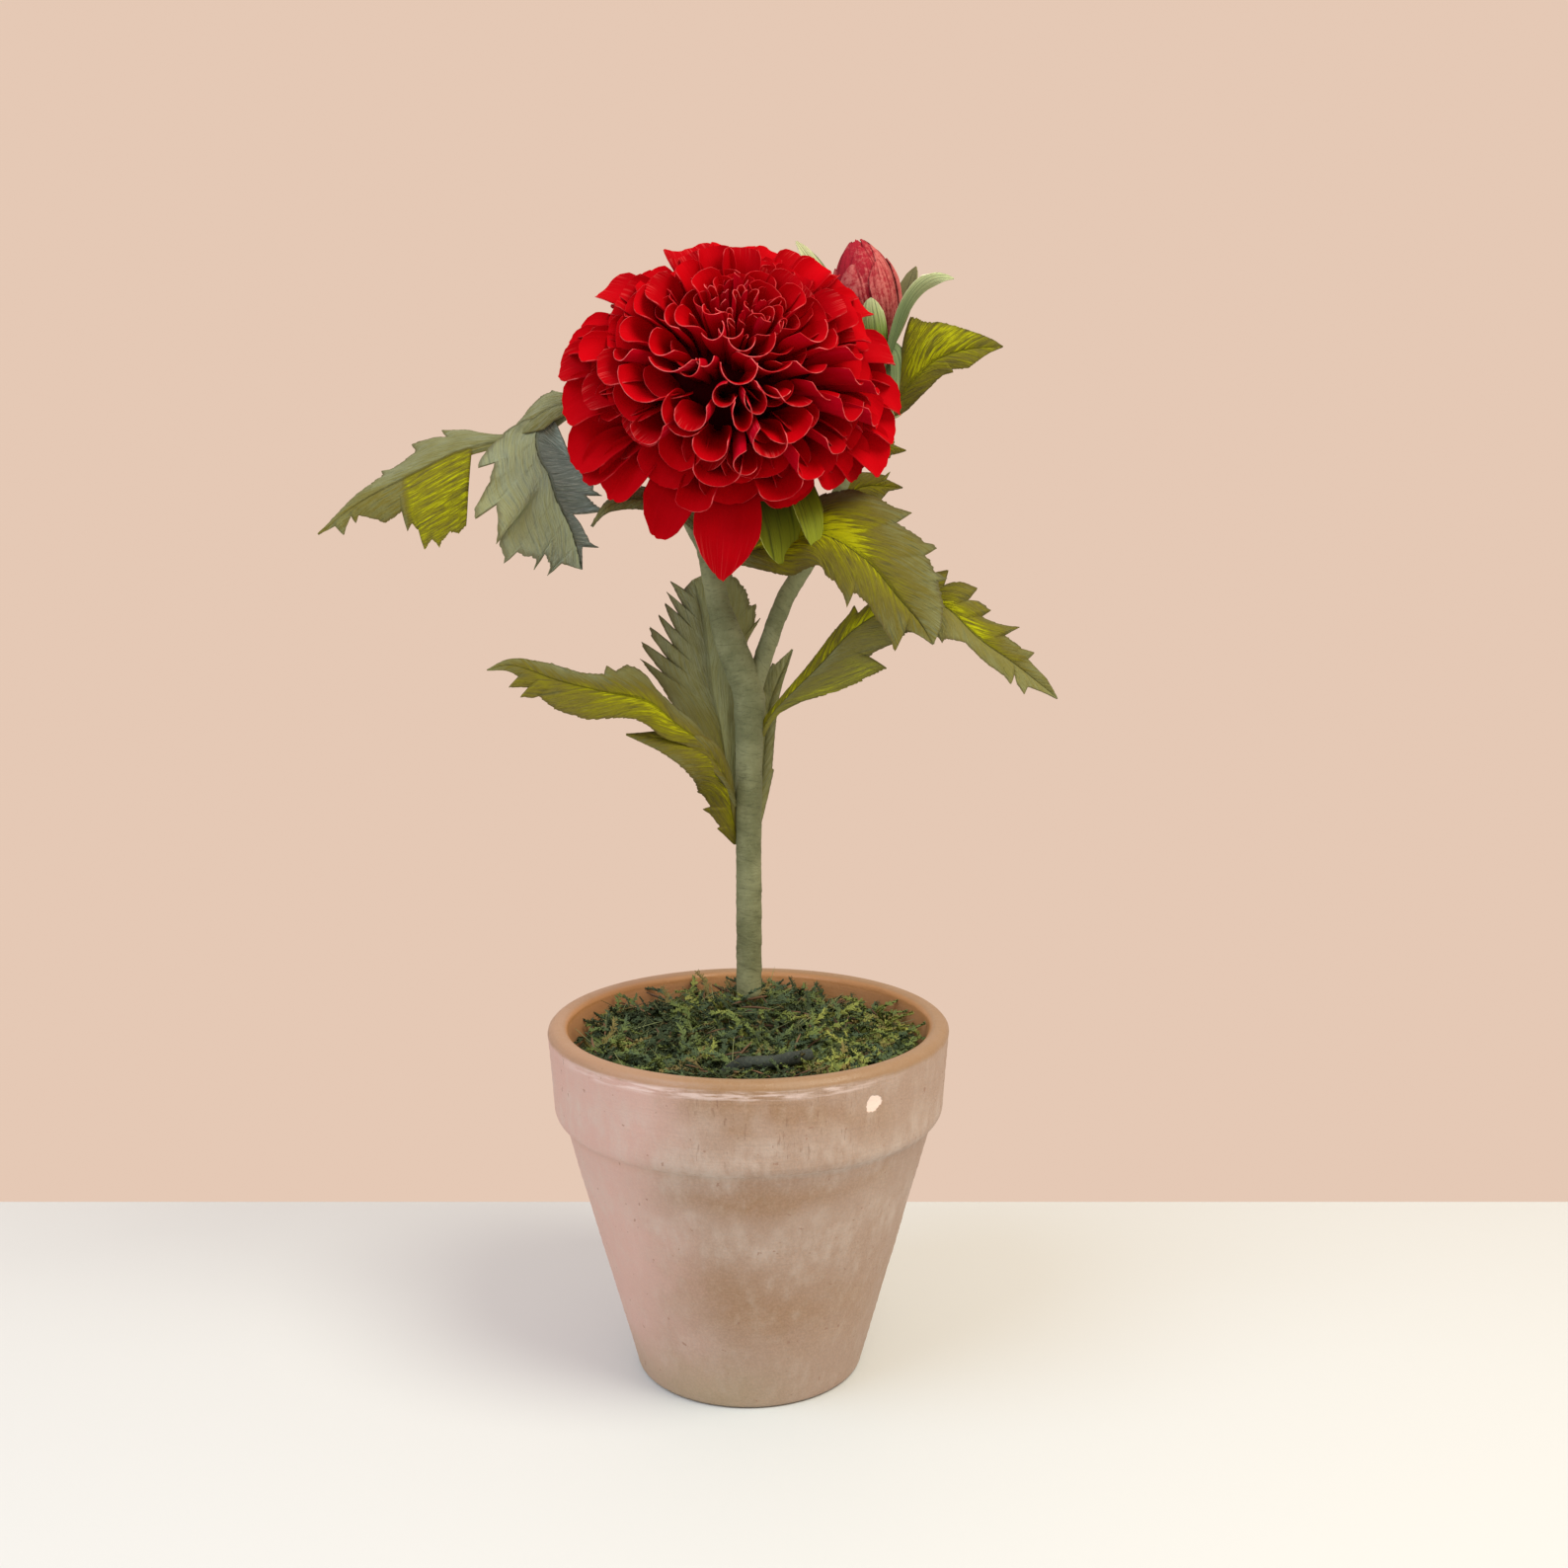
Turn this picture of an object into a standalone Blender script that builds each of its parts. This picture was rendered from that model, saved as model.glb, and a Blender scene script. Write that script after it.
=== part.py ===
# A potted paper dahlia: a crepe-paper bloom and bud on a wrapped, forked stem with cut paper
# leaves, held by plaster in a small terracotta pot that is topped with moss.
#
# Sizes and places are in millimetres and become metres where a mesh is made. +X is to the
# viewer's right, +Y away from the viewer and +Z up. The origin is the middle of the pot's foot.
import math
import random

import bmesh
import bpy
from mathutils import Vector

MM = 0.001
GAP = 0.3                 # clearance between pieces that touch
WELD = 0.01               # necks and slivers thinner than this are closed up
SEED = 9

# The pot
POT_HEIGHT = 98.7
RIM_RADIUS = 55.0
RIM_FOOT_RADIUS = 53.5
RIM_BAND = 25.0
LIP_ROUNDING = 2.4
RIM_WALL = 5.6
BODY_TOP_RADIUS = 50.0
FOOT_RADIUS = 31.6
FOOT_ROUNDING = 2.0
POT_WALL = 5.0
POT_FLOOR = 6.0
BAND_STEP_IN = 2.5        # how far the inner wall widens behind the rim band
BAND_STEP_UP = 3.0
DRAIN_RADIUS = 6.0
TURN_SEGMENTS = 36

# What fills it
FILLER_TOP = 80.0
MOSS_TOP = 91.5
MOSS_RISE = 7.0           # how far the moss climbs round the stem
MOSS_RISE_REACH = 11.0
MOSS_TUFT = 3.4
MOSS_EDGE_DROP = 3.0      # how far the moss dips where it meets the pot
MOSS_RINGS = 10

# The stem, from the plaster up to the bloom, with a radius at each point
STEM_ROUTE = [(0.3, 6, 30), (0.3, 6, 66), (0, 6, 102), (0, 7, 148), (0, 8, 184), (-2, 8, 194),
              (-5, 8, 202), (-8, 8, 212), (-10, 8.5, 222), (-12, 11, 232), (-12.5, 14, 240.5),
              (-10.5, 13, 248.5), (-7.3, 8.4, 255.6)]
STEM_RADII = [3.5, 3.5, 3.4, 3.4, 3.8, 4.2, 4.0, 3.0, 2.8, 2.8, 2.9, 3.0, 3.1]
BRANCH_ROUTE = [(0, 8, 181), (2, 9, 191), (5, 11, 200), (10, 14, 213), (16, 17.5, 223),
                (25, 24, 241), (33, 29, 260), (37, 31, 273)]
BRANCH_RADII = [2.0, 2.4, 2.4, 2.4, 2.3, 2.2, 2.1, 2.2]
STEM_SIDES = 10

# The bloom: a dome of cupped petals on a small core, facing up and toward the viewer
BLOOM_CENTRE = Vector((-4, -8, 270))
BLOOM_AXIS = Vector((0.15, -0.74, 0.656)).normalized()
DOME_RADIUS = 41.0
DOME_HEIGHT = 29.0
DOME_BACK = 25.0
CORE_DEPTH = 5.0          # how far the core's middle lies behind the dome's
CORE_RADIUS = 27.0
CORE_HEIGHT = 20.0
CORE_BACK = 12.0
ROOT_SUNK = 2.6
PETAL_THICKNESS = 0.7
DOME_PETALS = 54
DOME_REACH = 84.0         # degrees from the axis that the dome's own petals reach
DOME_CROWDING = 0.66
QUILL_WIDTH = 5.5         # flat width of the middle petals, and of the full-grown ones
OPEN_WIDTH = 16.0
GROWN_FROM = 50.0         # degrees from the axis where petals reach their full width
OPENED_FROM = 45.0        # degrees from the axis where their roll begins to open
QUILL_ROLL = 140.0        # half angles of the roll: in the middle, halfway and outermost
INNER_ROLL = 120.0
OPEN_ROLL = 75.0
SMALL_SHARE = 0.18        # share of the petals, the middle ones, with fewer facets
BACK_PETALS = 13
BACK_REACH = 104.0
BACK_LENGTH = 36.5
BACK_WIDTH = 17.0
BACK_ROLL = 55.0
GOLDEN_ANGLE = math.pi * (3 - math.sqrt(5))

# Outer petals that make the bloom's outline: tip, flat width, half angle of the roll in
# degrees, how far the petal bows out along the bloom's axis, and its width at the tip as a
# share of the full width
OUTER_PETALS = [
    ((-47, -15, 271), 17, 58, 4, 0.4), ((-43, -8, 283), 16, 62, 4, 0.4),
    ((-35, 0, 297), 17, 70, 4, 0.6), ((-17, 6, 306), 18, 55, 3, 0.6),
    ((-4, 8, 307), 17, 55, 3, 0.6), ((9, 9, 305), 17, 60, 3, 0.6),
    ((21, 8, 299), 15, 65, 4, 0.5), ((31, 5, 289), 16, 60, 4, 0.6),
    ((38, 2, 276), 16, 60, 4, 0.5), ((40, -2, 263), 15, 65, 4, 0.5),
    ((35, -10, 247), 18, 52, 5, 0.6), ((23, -18, 243), 17, 55, 5, 0.5),
    ((12, -24, 240), 16, 65, 6, 0.4), ((-7, -24, 221), 20, 42, 9, 0.15),
    ((-22, -21, 230), 16, 52, 8, 0.3), ((-34, -21, 240), 17, 55, 6, 0.5),
    ((-43, -19, 248), 19, 50, 5, 0.5), ((-45, -19, 260), 20, 52, 5, 0.5),
]

# The green cup behind the bloom: places along the axis and radii, and its bracts
CUP_PROFILE = [(-24, 4.7), (-21.5, 6.2), (-17, 9.5), (-14, 11.5), (-11, 10)]
CUP_MIDDLE = -19.5
BRACTS = [
    [(-0.5, 0.5, 251.5), (4, -5, 242), (6.5, -9, 232), (7, -10.5, 224)],
    [(3, 1.5, 254.5), (9, -5, 247), (13.5, -11.5, 239), (15.5, -15.5, 229)],
    [(-15, 7, 253), (-21, 9, 246), (-25, 9, 240)],
    [(-8, 16, 263), (-9, 24, 264), (-10, 31, 268)],
    [(3, 12, 260), (9, 18, 258), (14, 23, 261)],
]
BRACT_WIDTH = 8.5

# The bud
BUD_BASE = Vector((37, 31, 277))
BUD_TOP = Vector((31.5, 28, 309))
BUD_RADIUS = 8.6
BUD_SWELL = (1.3, 0.6)     # how high its widest place lies, and how full it is
BUD_CORE_RADIUS = 7.0
BUD_TWIST = 0.55           # how far each bud petal turns under its neighbour
BUD_ROWS = [(5, 0.84, 0.0, 12.0, 1.3), (5, 0.97, 0.5, 11.0, 0.1)]
BUD_CUP_RADIUS = 5.4
BUD_CUP_TOP = 4.0
BUD_CUP_BOTTOM = 4.7
SEPALS = [
    ([(36, 24.8, 277), (34.6, 20, 283), (33.6, 17.8, 289), (33.2, 18.6, 293)], 6.5),
    ([(38.5, 25.5, 275), (41.5, 20.5, 283), (45, 18.5, 292), (48.5, 18.5, 298),
      (54, 18, 297.5)], 4.5),
    ([(41, 34.5, 279), (44, 38.5, 288), (46.5, 40, 297), (48, 40, 304)], 6),
    ([(33, 37.5, 280), (27, 41, 290), (20, 42, 301), (13, 41, 311)], 6.5),
    ([(38.5, 38.5, 279), (38, 42.5, 287), (37, 45, 296), (36, 47, 303)], 5.5),
]

PAPER_THICKNESS = 0.7
RIB_STEPS = 9

# Each blade has a rib, and for each side of it the way that side spreads at the base and at
# the tip, how many degrees its veins lean forward, and its cut edge as places along the rib
# with the width there, tooth tips and notches in turn
FAR_LEAFLET = {
    "rib": [(-56, 8, 257), (-65, 8, 255), (-76, 5, 252), (-88, 1, 246), (-101, -3, 239),
            (-111, -8, 231)],
    "near": ((0, -0.3, -1), (0, -0.3, -1), 28,
             [(0, 1.5), (0.28, 1.5), (0.30, 15), (0.31, 21), (0.36, 20), (0.41, 22), (0.44, 19),
              (0.49, 21), (0.51, 14.5), (0.56, 13), (0.57, 8), (0.66, 8.5), (0.82, 3),
              (0.83, 1.5), (0.90, 3.5), (0.92, 1)]),
    "far": ((0, 0.8, 0.6), (0, 0.8, 0.6), 30,
            [(0, 1.5), (0.12, 5), (0.19, 11), (0.25, 13), (0.27, 10), (0.36, 14), (0.39, 10.5),
             (0.55, 10.5), (0.57, 9), (0.70, 6), (0.85, 2.5)]),
}
BIG_LEAFLET = {
    "rib": [(-53, 11, 262), (-56, 7, 257), (-55, 3, 251), (-52, 0, 246), (-50, -2, 240),
            (-46, -4, 232), (-43, -6, 222)],
    "near": ((-1, -0.3, 0), (-0.8, -0.2, -0.5), 35,
             [(0, 3), (0.08, 6.5), (0.13, 10), (0.19, 16.5), (0.20, 13), (0.25, 17), (0.31, 24),
              (0.32, 18.5), (0.39, 25), (0.41, 20), (0.57, 21), (0.58, 17.5), (0.69, 14.5),
              (0.70, 11), (0.85, 10), (0.87, 6)]),
    "far": ((1, 0.4, 0.3), (1, 0.5, 0), 20,
            [(0, 3), (0.06, 12), (0.26, 13.5), (0.38, 12), (0.50, 12), (0.51, 9.5),
             (0.66, 11), (0.67, 3), (0.85, 5), (0.86, 2)]),
}
SHEATH = {
    "rib": [(-44, 16, 266), (-52, 12, 264), (-58, 9, 260), (-65, 8, 255)],
    "near": ((0, -0.5, -1), (0, -0.5, -1), 20,
             [(0, 2), (0.2, 3.5), (0.56, 4.5), (0.75, 2)]),
    "far": ((0, 0.8, 0.6), (0, 0.8, 0.6), 20,
            [(0, 3), (0.12, 8.5), (0.4, 6.5), (0.72, 4)]),
}
SPRAY_STALK = [(-11.5, 9, 226), (-18, 14, 237), (-29, 20, 250), (-42, 20, 263), (-49, 16, 265),
               (-53, 11, 262)]
SPRAY_STALK_RADII = [1.8, 1.8, 1.7, 1.7, 1.6, 1.4]

LEAF_BELOW_BLOOM = {
    "rib": [(-10, 9, 226), (-14, 3, 233), (-20, -4, 238), (-28, -10, 240), (-35, -14, 238),
            (-39, -16, 233)],
    "near": ((0, -0.6, -1), (0, -0.6, -1), 25,
             [(0, 1.5), (0.3, 3), (0.55, 4), (0.6, 3), (0.8, 2)]),
    "far": ((0, 0.8, 0.5), (0, 0.8, 0.5), 25,
            [(0, 1.5), (0.3, 5), (0.55, 6), (0.6, 4.5), (0.8, 3)]),
}
BIG_LEAF = {
    "rib": [(-9, 8, 221), (-4, 3, 225), (9, -6, 228), (19, -13, 231), (30, -20, 225),
            (38, -24, 216), (44, -26, 209), (47, -26, 204)],
    "near": ((0, -0.5, -1), (-0.8, -0.3, -0.6), 30,
             [(0, 1.5), (0.10, 3.5), (0.22, 8), (0.28, 10.5), (0.42, 13), (0.55, 11),
              (0.63, 13.5), (0.64, 10), (0.72, 8.5), (0.80, 9), (0.87, 10.5), (0.88, 4.5)]),
    "far": ((0.3, 0.3, 1), (1, 0.2, 0.3), 30,
            [(0, 1.5), (0.10, 4), (0.16, 9), (0.22, 16), (0.38, 16.5), (0.46, 16), (0.55, 19),
             (0.56, 14.5), (0.67, 17.5), (0.68, 14.5), (0.76, 16), (0.77, 13.5), (0.87, 9),
             (0.94, 4.5)]),
}
LONG_LEAF = {
    "rib": [(3, 8, 176), (7, 6, 183), (19, -2, 196), (29, -9, 207), (40, -14, 213),
            (50, -18, 213), (59, -21, 205), (69, -23, 198), (79, -24, 190)],
    "near": ((0.8, -0.4, -0.4), (-0.3, -0.5, -0.8), 30,
             [(0, 1.2), (0.08, 1.5), (0.14, 4), (0.22, 10), (0.34, 16), (0.35, 10), (0.44, 11.5),
              (0.50, 10), (0.62, 12), (0.73, 4.5), (0.82, 5), (0.86, 5.5), (0.87, 2.5),
              (0.90, 5.5), (0.91, 3.5), (0.95, 2)]),
    "far": ((-0.6, 0.3, 0.8), (0.4, 0.5, 0.8), 30,
            [(0, 1.2), (0.08, 1.5), (0.17, 2.5), (0.28, 4), (0.40, 6), (0.41, 4), (0.50, 5.5),
             (0.60, 9.5), (0.61, 6), (0.65, 9), (0.66, 6), (0.69, 8.5), (0.70, 6), (0.77, 10),
             (0.78, 6), (0.86, 6), (0.87, 4), (0.94, 2.5)]),
}
MIDDLE_LEAF = {
    "rib": [(-3, 7, 157), (-5, 3, 163), (-8, -3, 169), (-12, -7, 176), (-18, -11, 181),
            (-26, -15, 188), (-37, -18, 191), (-48, -20, 194), (-59, -21, 198),
            (-66, -21, 197)],
    "near": ((-0.3, -0.5, -0.8), (0, -0.5, -0.85), 30,
             [(0, 1.5), (0.2, 3), (0.33, 4), (0.40, 6.5), (0.47, 7.5), (0.57, 8), (0.65, 9.5),
              (0.72, 9), (0.79, 6.5), (0.82, 8), (0.83, 5), (0.87, 6.5), (0.88, 3), (0.94, 1.5)]),
    "far": ((-0.5, 0.4, 0.8), (0, 0.5, 0.85), 30,
            [(0, 1.5), (0.2, 5), (0.32, 7.5), (0.45, 7.5), (0.49, 9.5), (0.54, 10),
             (0.60, 8), (0.62, 6), (0.70, 4.5), (0.79, 5), (0.92, 2)]),
}
LOW_LEAF = {
    "rib": [(-3, 8, 146), (-5, 5, 157), (-6, 1, 165), (-9, -4, 171), (-14, -9, 175),
            (-21, -13, 178), (-31, -17, 180)],
    "near": ((-0.9, -0.4, -0.2), (0, -0.5, -0.85), 20,
             [(0, 1.2), (0.09, 5.5), (0.10, 4.5), (0.20, 7.5), (0.21, 6), (0.34, 10), (0.58, 8),
              (0.75, 5), (0.90, 2)]),
    "far": ((0.5, 0.5, 0.5), (0, 0.5, 0.85), 20,
            [(0, 1.2), (0.25, 3.5), (0.45, 4), (0.61, 4.5), (0.85, 2)]),
}
SPIKY_LEAF = {
    "rib": [(-3, 9, 156), (-6, 10, 167), (-8, 12, 178), (-11, 14, 189), (-12, 15, 198),
            (-13, 16, 208), (-15, 16, 218)],
    "near": ((-1, -0.2, 0), (-1, -0.2, 0), 50,
             [(0, 2), (0.20, 10), (0.27, 20), (0.34, 23), (0.43, 24.5), (0.44, 16.5),
              (0.51, 23), (0.52, 14), (0.57, 21), (0.58, 12.5), (0.64, 18.5), (0.65, 11.5),
              (0.73, 15), (0.74, 9.5), (0.80, 13), (0.81, 7), (0.90, 9.5), (0.91, 5)]),
    "far": ((1, 0.3, 0), (1, 0.3, 0), 40,
            [(0, 2), (0.2, 4), (0.33, 6.5), (0.45, 13), (0.58, 22), (0.59, 19), (0.67, 19.5),
             (0.68, 16), (0.79, 13), (0.80, 10), (0.92, 5)]),
}
SLIM_LEAF = {
    "rib": [(2, 9, 150), (4, 13, 167), (6, 15.5, 184), (12, 17, 199)],
    "near": ((1, 0, 0), (1, 0, 0), 20,
             [(0, 1.2), (0.19, 2.5), (0.31, 3.2), (0.32, 2.6), (0.62, 2.5), (0.87, 1)]),
    "far": ((-1, 0.3, 0), (-1, 0.3, 0), 30,
            [(0, 1.2), (0.21, 3), (0.5, 5), (0.7, 7), (0.71, 5), (0.85, 4), (0.86, 3)]),
}
BUD_LEAF = {
    "rib": [(34, 28.5, 262), (40.5, 25, 266.5), (45.5, 22, 272), (51, 19.5, 277), (59, 16.5, 279.5),
            (68, 13, 280)],
    "near": ((0.6, -0.3, -1), (0, -0.3, -1), 20,
             [(0, 1.2), (0.17, 4), (0.33, 5), (0.45, 5), (0.60, 5.5), (0.61, 4.5), (0.72, 5.5),
              (0.80, 4), (0.91, 1.5)]),
    "far": ((0, 0.1, 1), (0, 0.3, 1), 40,
            [(0, 1.5), (0.17, 4), (0.30, 13), (0.33, 17.5), (0.42, 12), (0.50, 7.5),
             (0.60, 5), (0.75, 3.5), (0.91, 2)]),
}
HIGH_TIP_LEAF = {
    "rib": [(28, 27, 250), (34, 25, 254), (43, 21, 253)],
    "near": ((0, -0.5, -1), (0, -0.5, -1), 25, [(0, 1.2), (0.4, 4), (0.7, 3), (0.72, 2)]),
    "far": ((0, 0.5, 1), (0, 0.5, 1), 25, [(0, 1.2), (0.4, 4), (0.7, 2.5), (0.72, 1.5)]),
}
LOW_TIP_LEAF = {
    "rib": [(23, 23, 237), (31, 22, 243), (42, 18, 243)],
    "near": ((0, -0.5, -1), (0, -0.5, -1), 25, [(0, 1.2), (0.3, 4), (0.65, 5), (0.8, 1.5)]),
    "far": ((0, 0.5, 1), (0, 0.5, 1), 25, [(0, 1.2), (0.4, 5), (0.7, 4), (0.72, 2.5)]),
}


def paper(name, colour, roughness):
    material = bpy.data.materials.new(name)
    material.use_nodes = True
    shader = material.node_tree.nodes["Principled BSDF"]
    shader.inputs["Base Color"].default_value = (*colour, 1.0)
    shader.inputs["Roughness"].default_value = roughness
    shader.inputs["Metallic"].default_value = 0.0
    return material


def make_object(name, points, faces, material):
    """A named object from points in millimetres."""
    mesh = bpy.data.meshes.new(name)
    mesh.from_pydata([tuple(MM * value for value in point) for point in points], [], faces)
    mesh.materials.append(material)
    thing = bpy.data.objects.new(name, mesh)
    bpy.context.scene.collection.objects.link(thing)
    return thing


def smooth(points, share):
    """A point of the smooth curve through the given ones, by its share of their number."""
    spans = len(points) - 1
    span = min(int(share * spans), spans - 1)
    step = share * spans - span
    second, third = Vector(points[span]), Vector(points[span + 1])
    first = Vector(points[span - 1]) if span > 0 else 2 * second - third
    fourth = Vector(points[span + 2]) if span + 2 <= spans else 2 * third - second
    return 0.5 * (2 * second + (third - first) * step
                  + (2 * first - 5 * second + 4 * third - fourth) * step ** 2
                  + (3 * second - first - 3 * third + fourth) * step ** 3)


def even_path(points, pieces):
    """Points evenly spaced by length along the smooth curve through the given ones."""
    fine = 24 * (len(points) - 1)
    dense = [smooth(points, step / fine) for step in range(fine + 1)]
    lengths = [0.0]
    for before, after in zip(dense, dense[1:]):
        lengths.append(lengths[-1] + (after - before).length)
    path = []
    index = 0
    for piece in range(pieces + 1):
        wanted = lengths[-1] * piece / pieces
        while index < fine - 1 and lengths[index + 1] < wanted:
            index += 1
        stretch = lengths[index + 1] - lengths[index]
        path.append(dense[index].lerp(dense[index + 1], (wanted - lengths[index]) / stretch))
    return path


def on_path(path, place):
    position = min(max(place, 0.0), 1.0) * (len(path) - 1)
    index = min(int(position), len(path) - 2)
    return path[index].lerp(path[index + 1], position - index)


def heading(path, place):
    reach = 0.02
    return (on_path(path, place + reach) - on_path(path, place - reach)).normalized()


def thicken(points, faces, thickness):
    """A closed blade from a sheet of triangles, split alike on both faces."""
    normals = [Vector() for _ in points]
    for a, b, c in faces:
        normal = (points[b] - points[a]).cross(points[c] - points[a])
        for corner in (a, b, c):
            normals[corner] += normal
    normals = [normal.normalized() for normal in normals]
    front = [point + normal * thickness / 2 for point, normal in zip(points, normals)]
    back = [point - normal * thickness / 2 for point, normal in zip(points, normals)]
    count = len(points)
    solid = list(faces) + [(c + count, b + count, a + count) for a, b, c in faces]
    edges = {(face[i], face[(i + 1) % 3]) for face in faces for i in range(3)}
    for a, b in sorted(edges):
        if (b, a) not in edges:
            solid += [(b, a, a + count), (b, a + count, b + count)]
    return front + back, solid


def ladder(inner, outer):
    """Triangles between two rows of (place, point number) pairs, in order of place."""
    faces = []
    i = j = 0
    while i < len(inner) - 1 or j < len(outer) - 1:
        inner_next = j == len(outer) - 1 or (i < len(inner) - 1
                                             and inner[i + 1][0] <= outer[j + 1][0])
        if inner_next:
            faces.append((inner[i][1], inner[i + 1][1], outer[j][1]))
            i += 1
        else:
            faces.append((inner[i][1], outer[j + 1][1], outer[j][1]))
            j += 1
    return [face for face in faces if len(set(face)) == 3]


def side_point(path, side, place, width):
    """The point of a blade that lies a width out from its rib, on one side of it."""
    base_way, tip_way, lean, _ = side
    along = heading(path, place)
    out = Vector(base_way).lerp(Vector(tip_way), place)
    out = (out - along * out.dot(along)).normalized()
    lean = math.radians(lean)
    return on_path(path, place) + width * (math.cos(lean) * out + math.sin(lean) * along)


def blade(leaf):
    """The closed blade of one leaf, folded at its rib, with its cut teeth."""
    path = even_path(leaf["rib"], 60)
    closest = 0.25 / RIB_STEPS
    wanted = sorted([step / RIB_STEPS for step in range(RIB_STEPS)]
                    + [place for side in ("near", "far") for place, _ in leaf[side][3]])
    places = [0.0]
    for place in wanted:
        if place - places[-1] > closest and place < 1 - closest:
            places.append(place)
    places.append(1.0)
    points = [on_path(path, place) for place in places]
    rib = list(zip(places, range(len(points))))
    faces = []
    for name in ("near", "far"):
        side = leaf[name]
        edge = [(place, len(points) + index) for index, (place, _) in enumerate(side[3])]
        points += [side_point(path, side, place, width) for place, width in side[3]]
        edge.append(rib[-1])
        strip = ladder(rib, edge)
        if name == "far":
            strip = [(a, c, b) for a, b, c in strip]
        faces += strip
    return thicken(points, faces, PAPER_THICKNESS)


def outline_round(place, tip=0.55):
    """Width of a petal along its length, as a share of its full width."""
    base, full = 0.2, 0.7
    if place < full:
        return base + (1 - base) * place / full
    return 1 - (1 - tip) * ((place - full) / (1 - full)) ** 2


def outline_pointed(place):
    """Width of a pointed sepal or bud petal along its length."""
    return 0.5 + 0.5 * math.sin(math.pi * min(place / 0.8, 1)) if place < 0.4 else (
        0.16 + 0.84 * math.cos(math.pi / 2 * (place - 0.4) / 0.6))


def cupped_sheet(path, inward, width, roll, outline, rows, columns):
    """A petal as a closed blade: a path's cross sections are arcs open to the inward side."""
    points = []
    for row in range(rows + 1):
        place = row / rows
        middle = on_path(path, place)
        along = heading(path, place)
        inner = inward(middle)
        inner = (inner - along * inner.dot(along)).normalized()
        across = along.cross(inner)
        flat = width * outline(place)
        half_angle = math.radians(roll) * (1 - 0.2 * place)
        radius = flat / (2 * half_angle)
        for column in range(columns + 1):
            angle = half_angle * (2 * column / columns - 1)
            points.append(middle + across * radius * math.sin(angle)
                          + inner * radius * (1 - math.cos(angle)))
    faces = []
    for row in range(rows):
        for column in range(columns):
            a = row * (columns + 1) + column
            b, c, d = a + 1, a + columns + 2, a + columns + 1
            if column < columns / 2:
                faces += [(a, b, c), (a, c, d)]
            else:
                faces += [(a, b, d), (b, c, d)]
    return thicken(points, faces, PETAL_THICKNESS)


def tube(route, radii, sides, extra=0.0):
    """A closed tube along a smooth route, with a radius at each of the route's points."""
    pieces = 2 * (len(route) - 1)
    path = [smooth(route, piece / pieces) for piece in range(pieces + 1)]
    points, faces = [], []
    for index, middle in enumerate(path):
        along = (path[min(index + 1, pieces)] - path[max(index - 1, 0)]).normalized()
        across = Vector((0, 1, 0)).cross(along).normalized()
        other = along.cross(across)
        share = index / 2
        low = min(int(share), len(radii) - 2)
        radius = radii[low] + (radii[low + 1] - radii[low]) * (share - low) + extra
        for side in range(sides):
            angle = 2 * math.pi * side / sides
            points.append(middle + radius * (across * math.cos(angle) + other * math.sin(angle)))
    for index in range(pieces):
        for side in range(sides):
            a = index * sides + side
            b = index * sides + (side + 1) % sides
            faces.append((a, b, b + sides, a + sides))
    faces.append(tuple(reversed(range(sides))))
    faces.append(tuple(range(pieces * sides, (pieces + 1) * sides)))
    return points, faces


def egg(centre, axis, radius, top, bottom, segments, rings, extra=0.0):
    """A closed egg round an axis, with its own height above and below its middle."""
    side = axis.cross(Vector((0, 1, 0.3))).normalized()
    other = axis.cross(side)
    points = [centre - axis * (bottom + extra)]
    for ring in range(1, rings):
        angle = math.pi * ring / rings
        height = -math.cos(angle) * ((top if angle > math.pi / 2 else bottom) + extra)
        for segment in range(segments):
            turn = 2 * math.pi * segment / segments
            out = side * math.cos(turn) + other * math.sin(turn)
            points.append(centre + axis * height + out * (radius + extra) * math.sin(angle))
    points.append(centre + axis * (top + extra))
    faces = []
    for segment in range(segments):
        following = (segment + 1) % segments
        faces.append((0, 1 + following, 1 + segment))
        for ring in range(rings - 2):
            a = 1 + ring * segments + segment
            b = 1 + ring * segments + following
            faces.append((a, b, b + segments, a + segments))
        last = 1 + (rings - 2) * segments
        faces.append((last + segment, last + following, len(points) - 1))
    return points, faces


def operands(solids, name):
    """A collection of closed meshes for a Boolean, kept out of the model."""
    group = bpy.data.collections.new(name)
    bpy.context.scene.collection.children.link(group)
    for points, faces in solids:
        mesh = bpy.data.meshes.new(name)
        mesh.from_pydata([tuple(MM * value for value in point) for point in points], [], faces)
        group.objects.link(bpy.data.objects.new(name, mesh))
    return group


def apply_boolean(thing, solids, operation):
    """Joins the closed solids to an object, or cuts them from it, and applies the result."""
    group = operands(solids, thing.name + "_operand")
    modifier = thing.modifiers.new("Boolean", "BOOLEAN")
    modifier.operation = operation
    modifier.operand_type = "COLLECTION"
    modifier.collection = group
    modifier.solver = "MANIFOLD"
    evaluated = thing.evaluated_get(bpy.context.evaluated_depsgraph_get())
    result = bpy.data.meshes.new_from_object(evaluated)
    thing.modifiers.remove(modifier)
    thing.data = result
    for operand in list(group.objects):
        bpy.data.objects.remove(operand)
    bpy.data.collections.remove(group)


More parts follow.
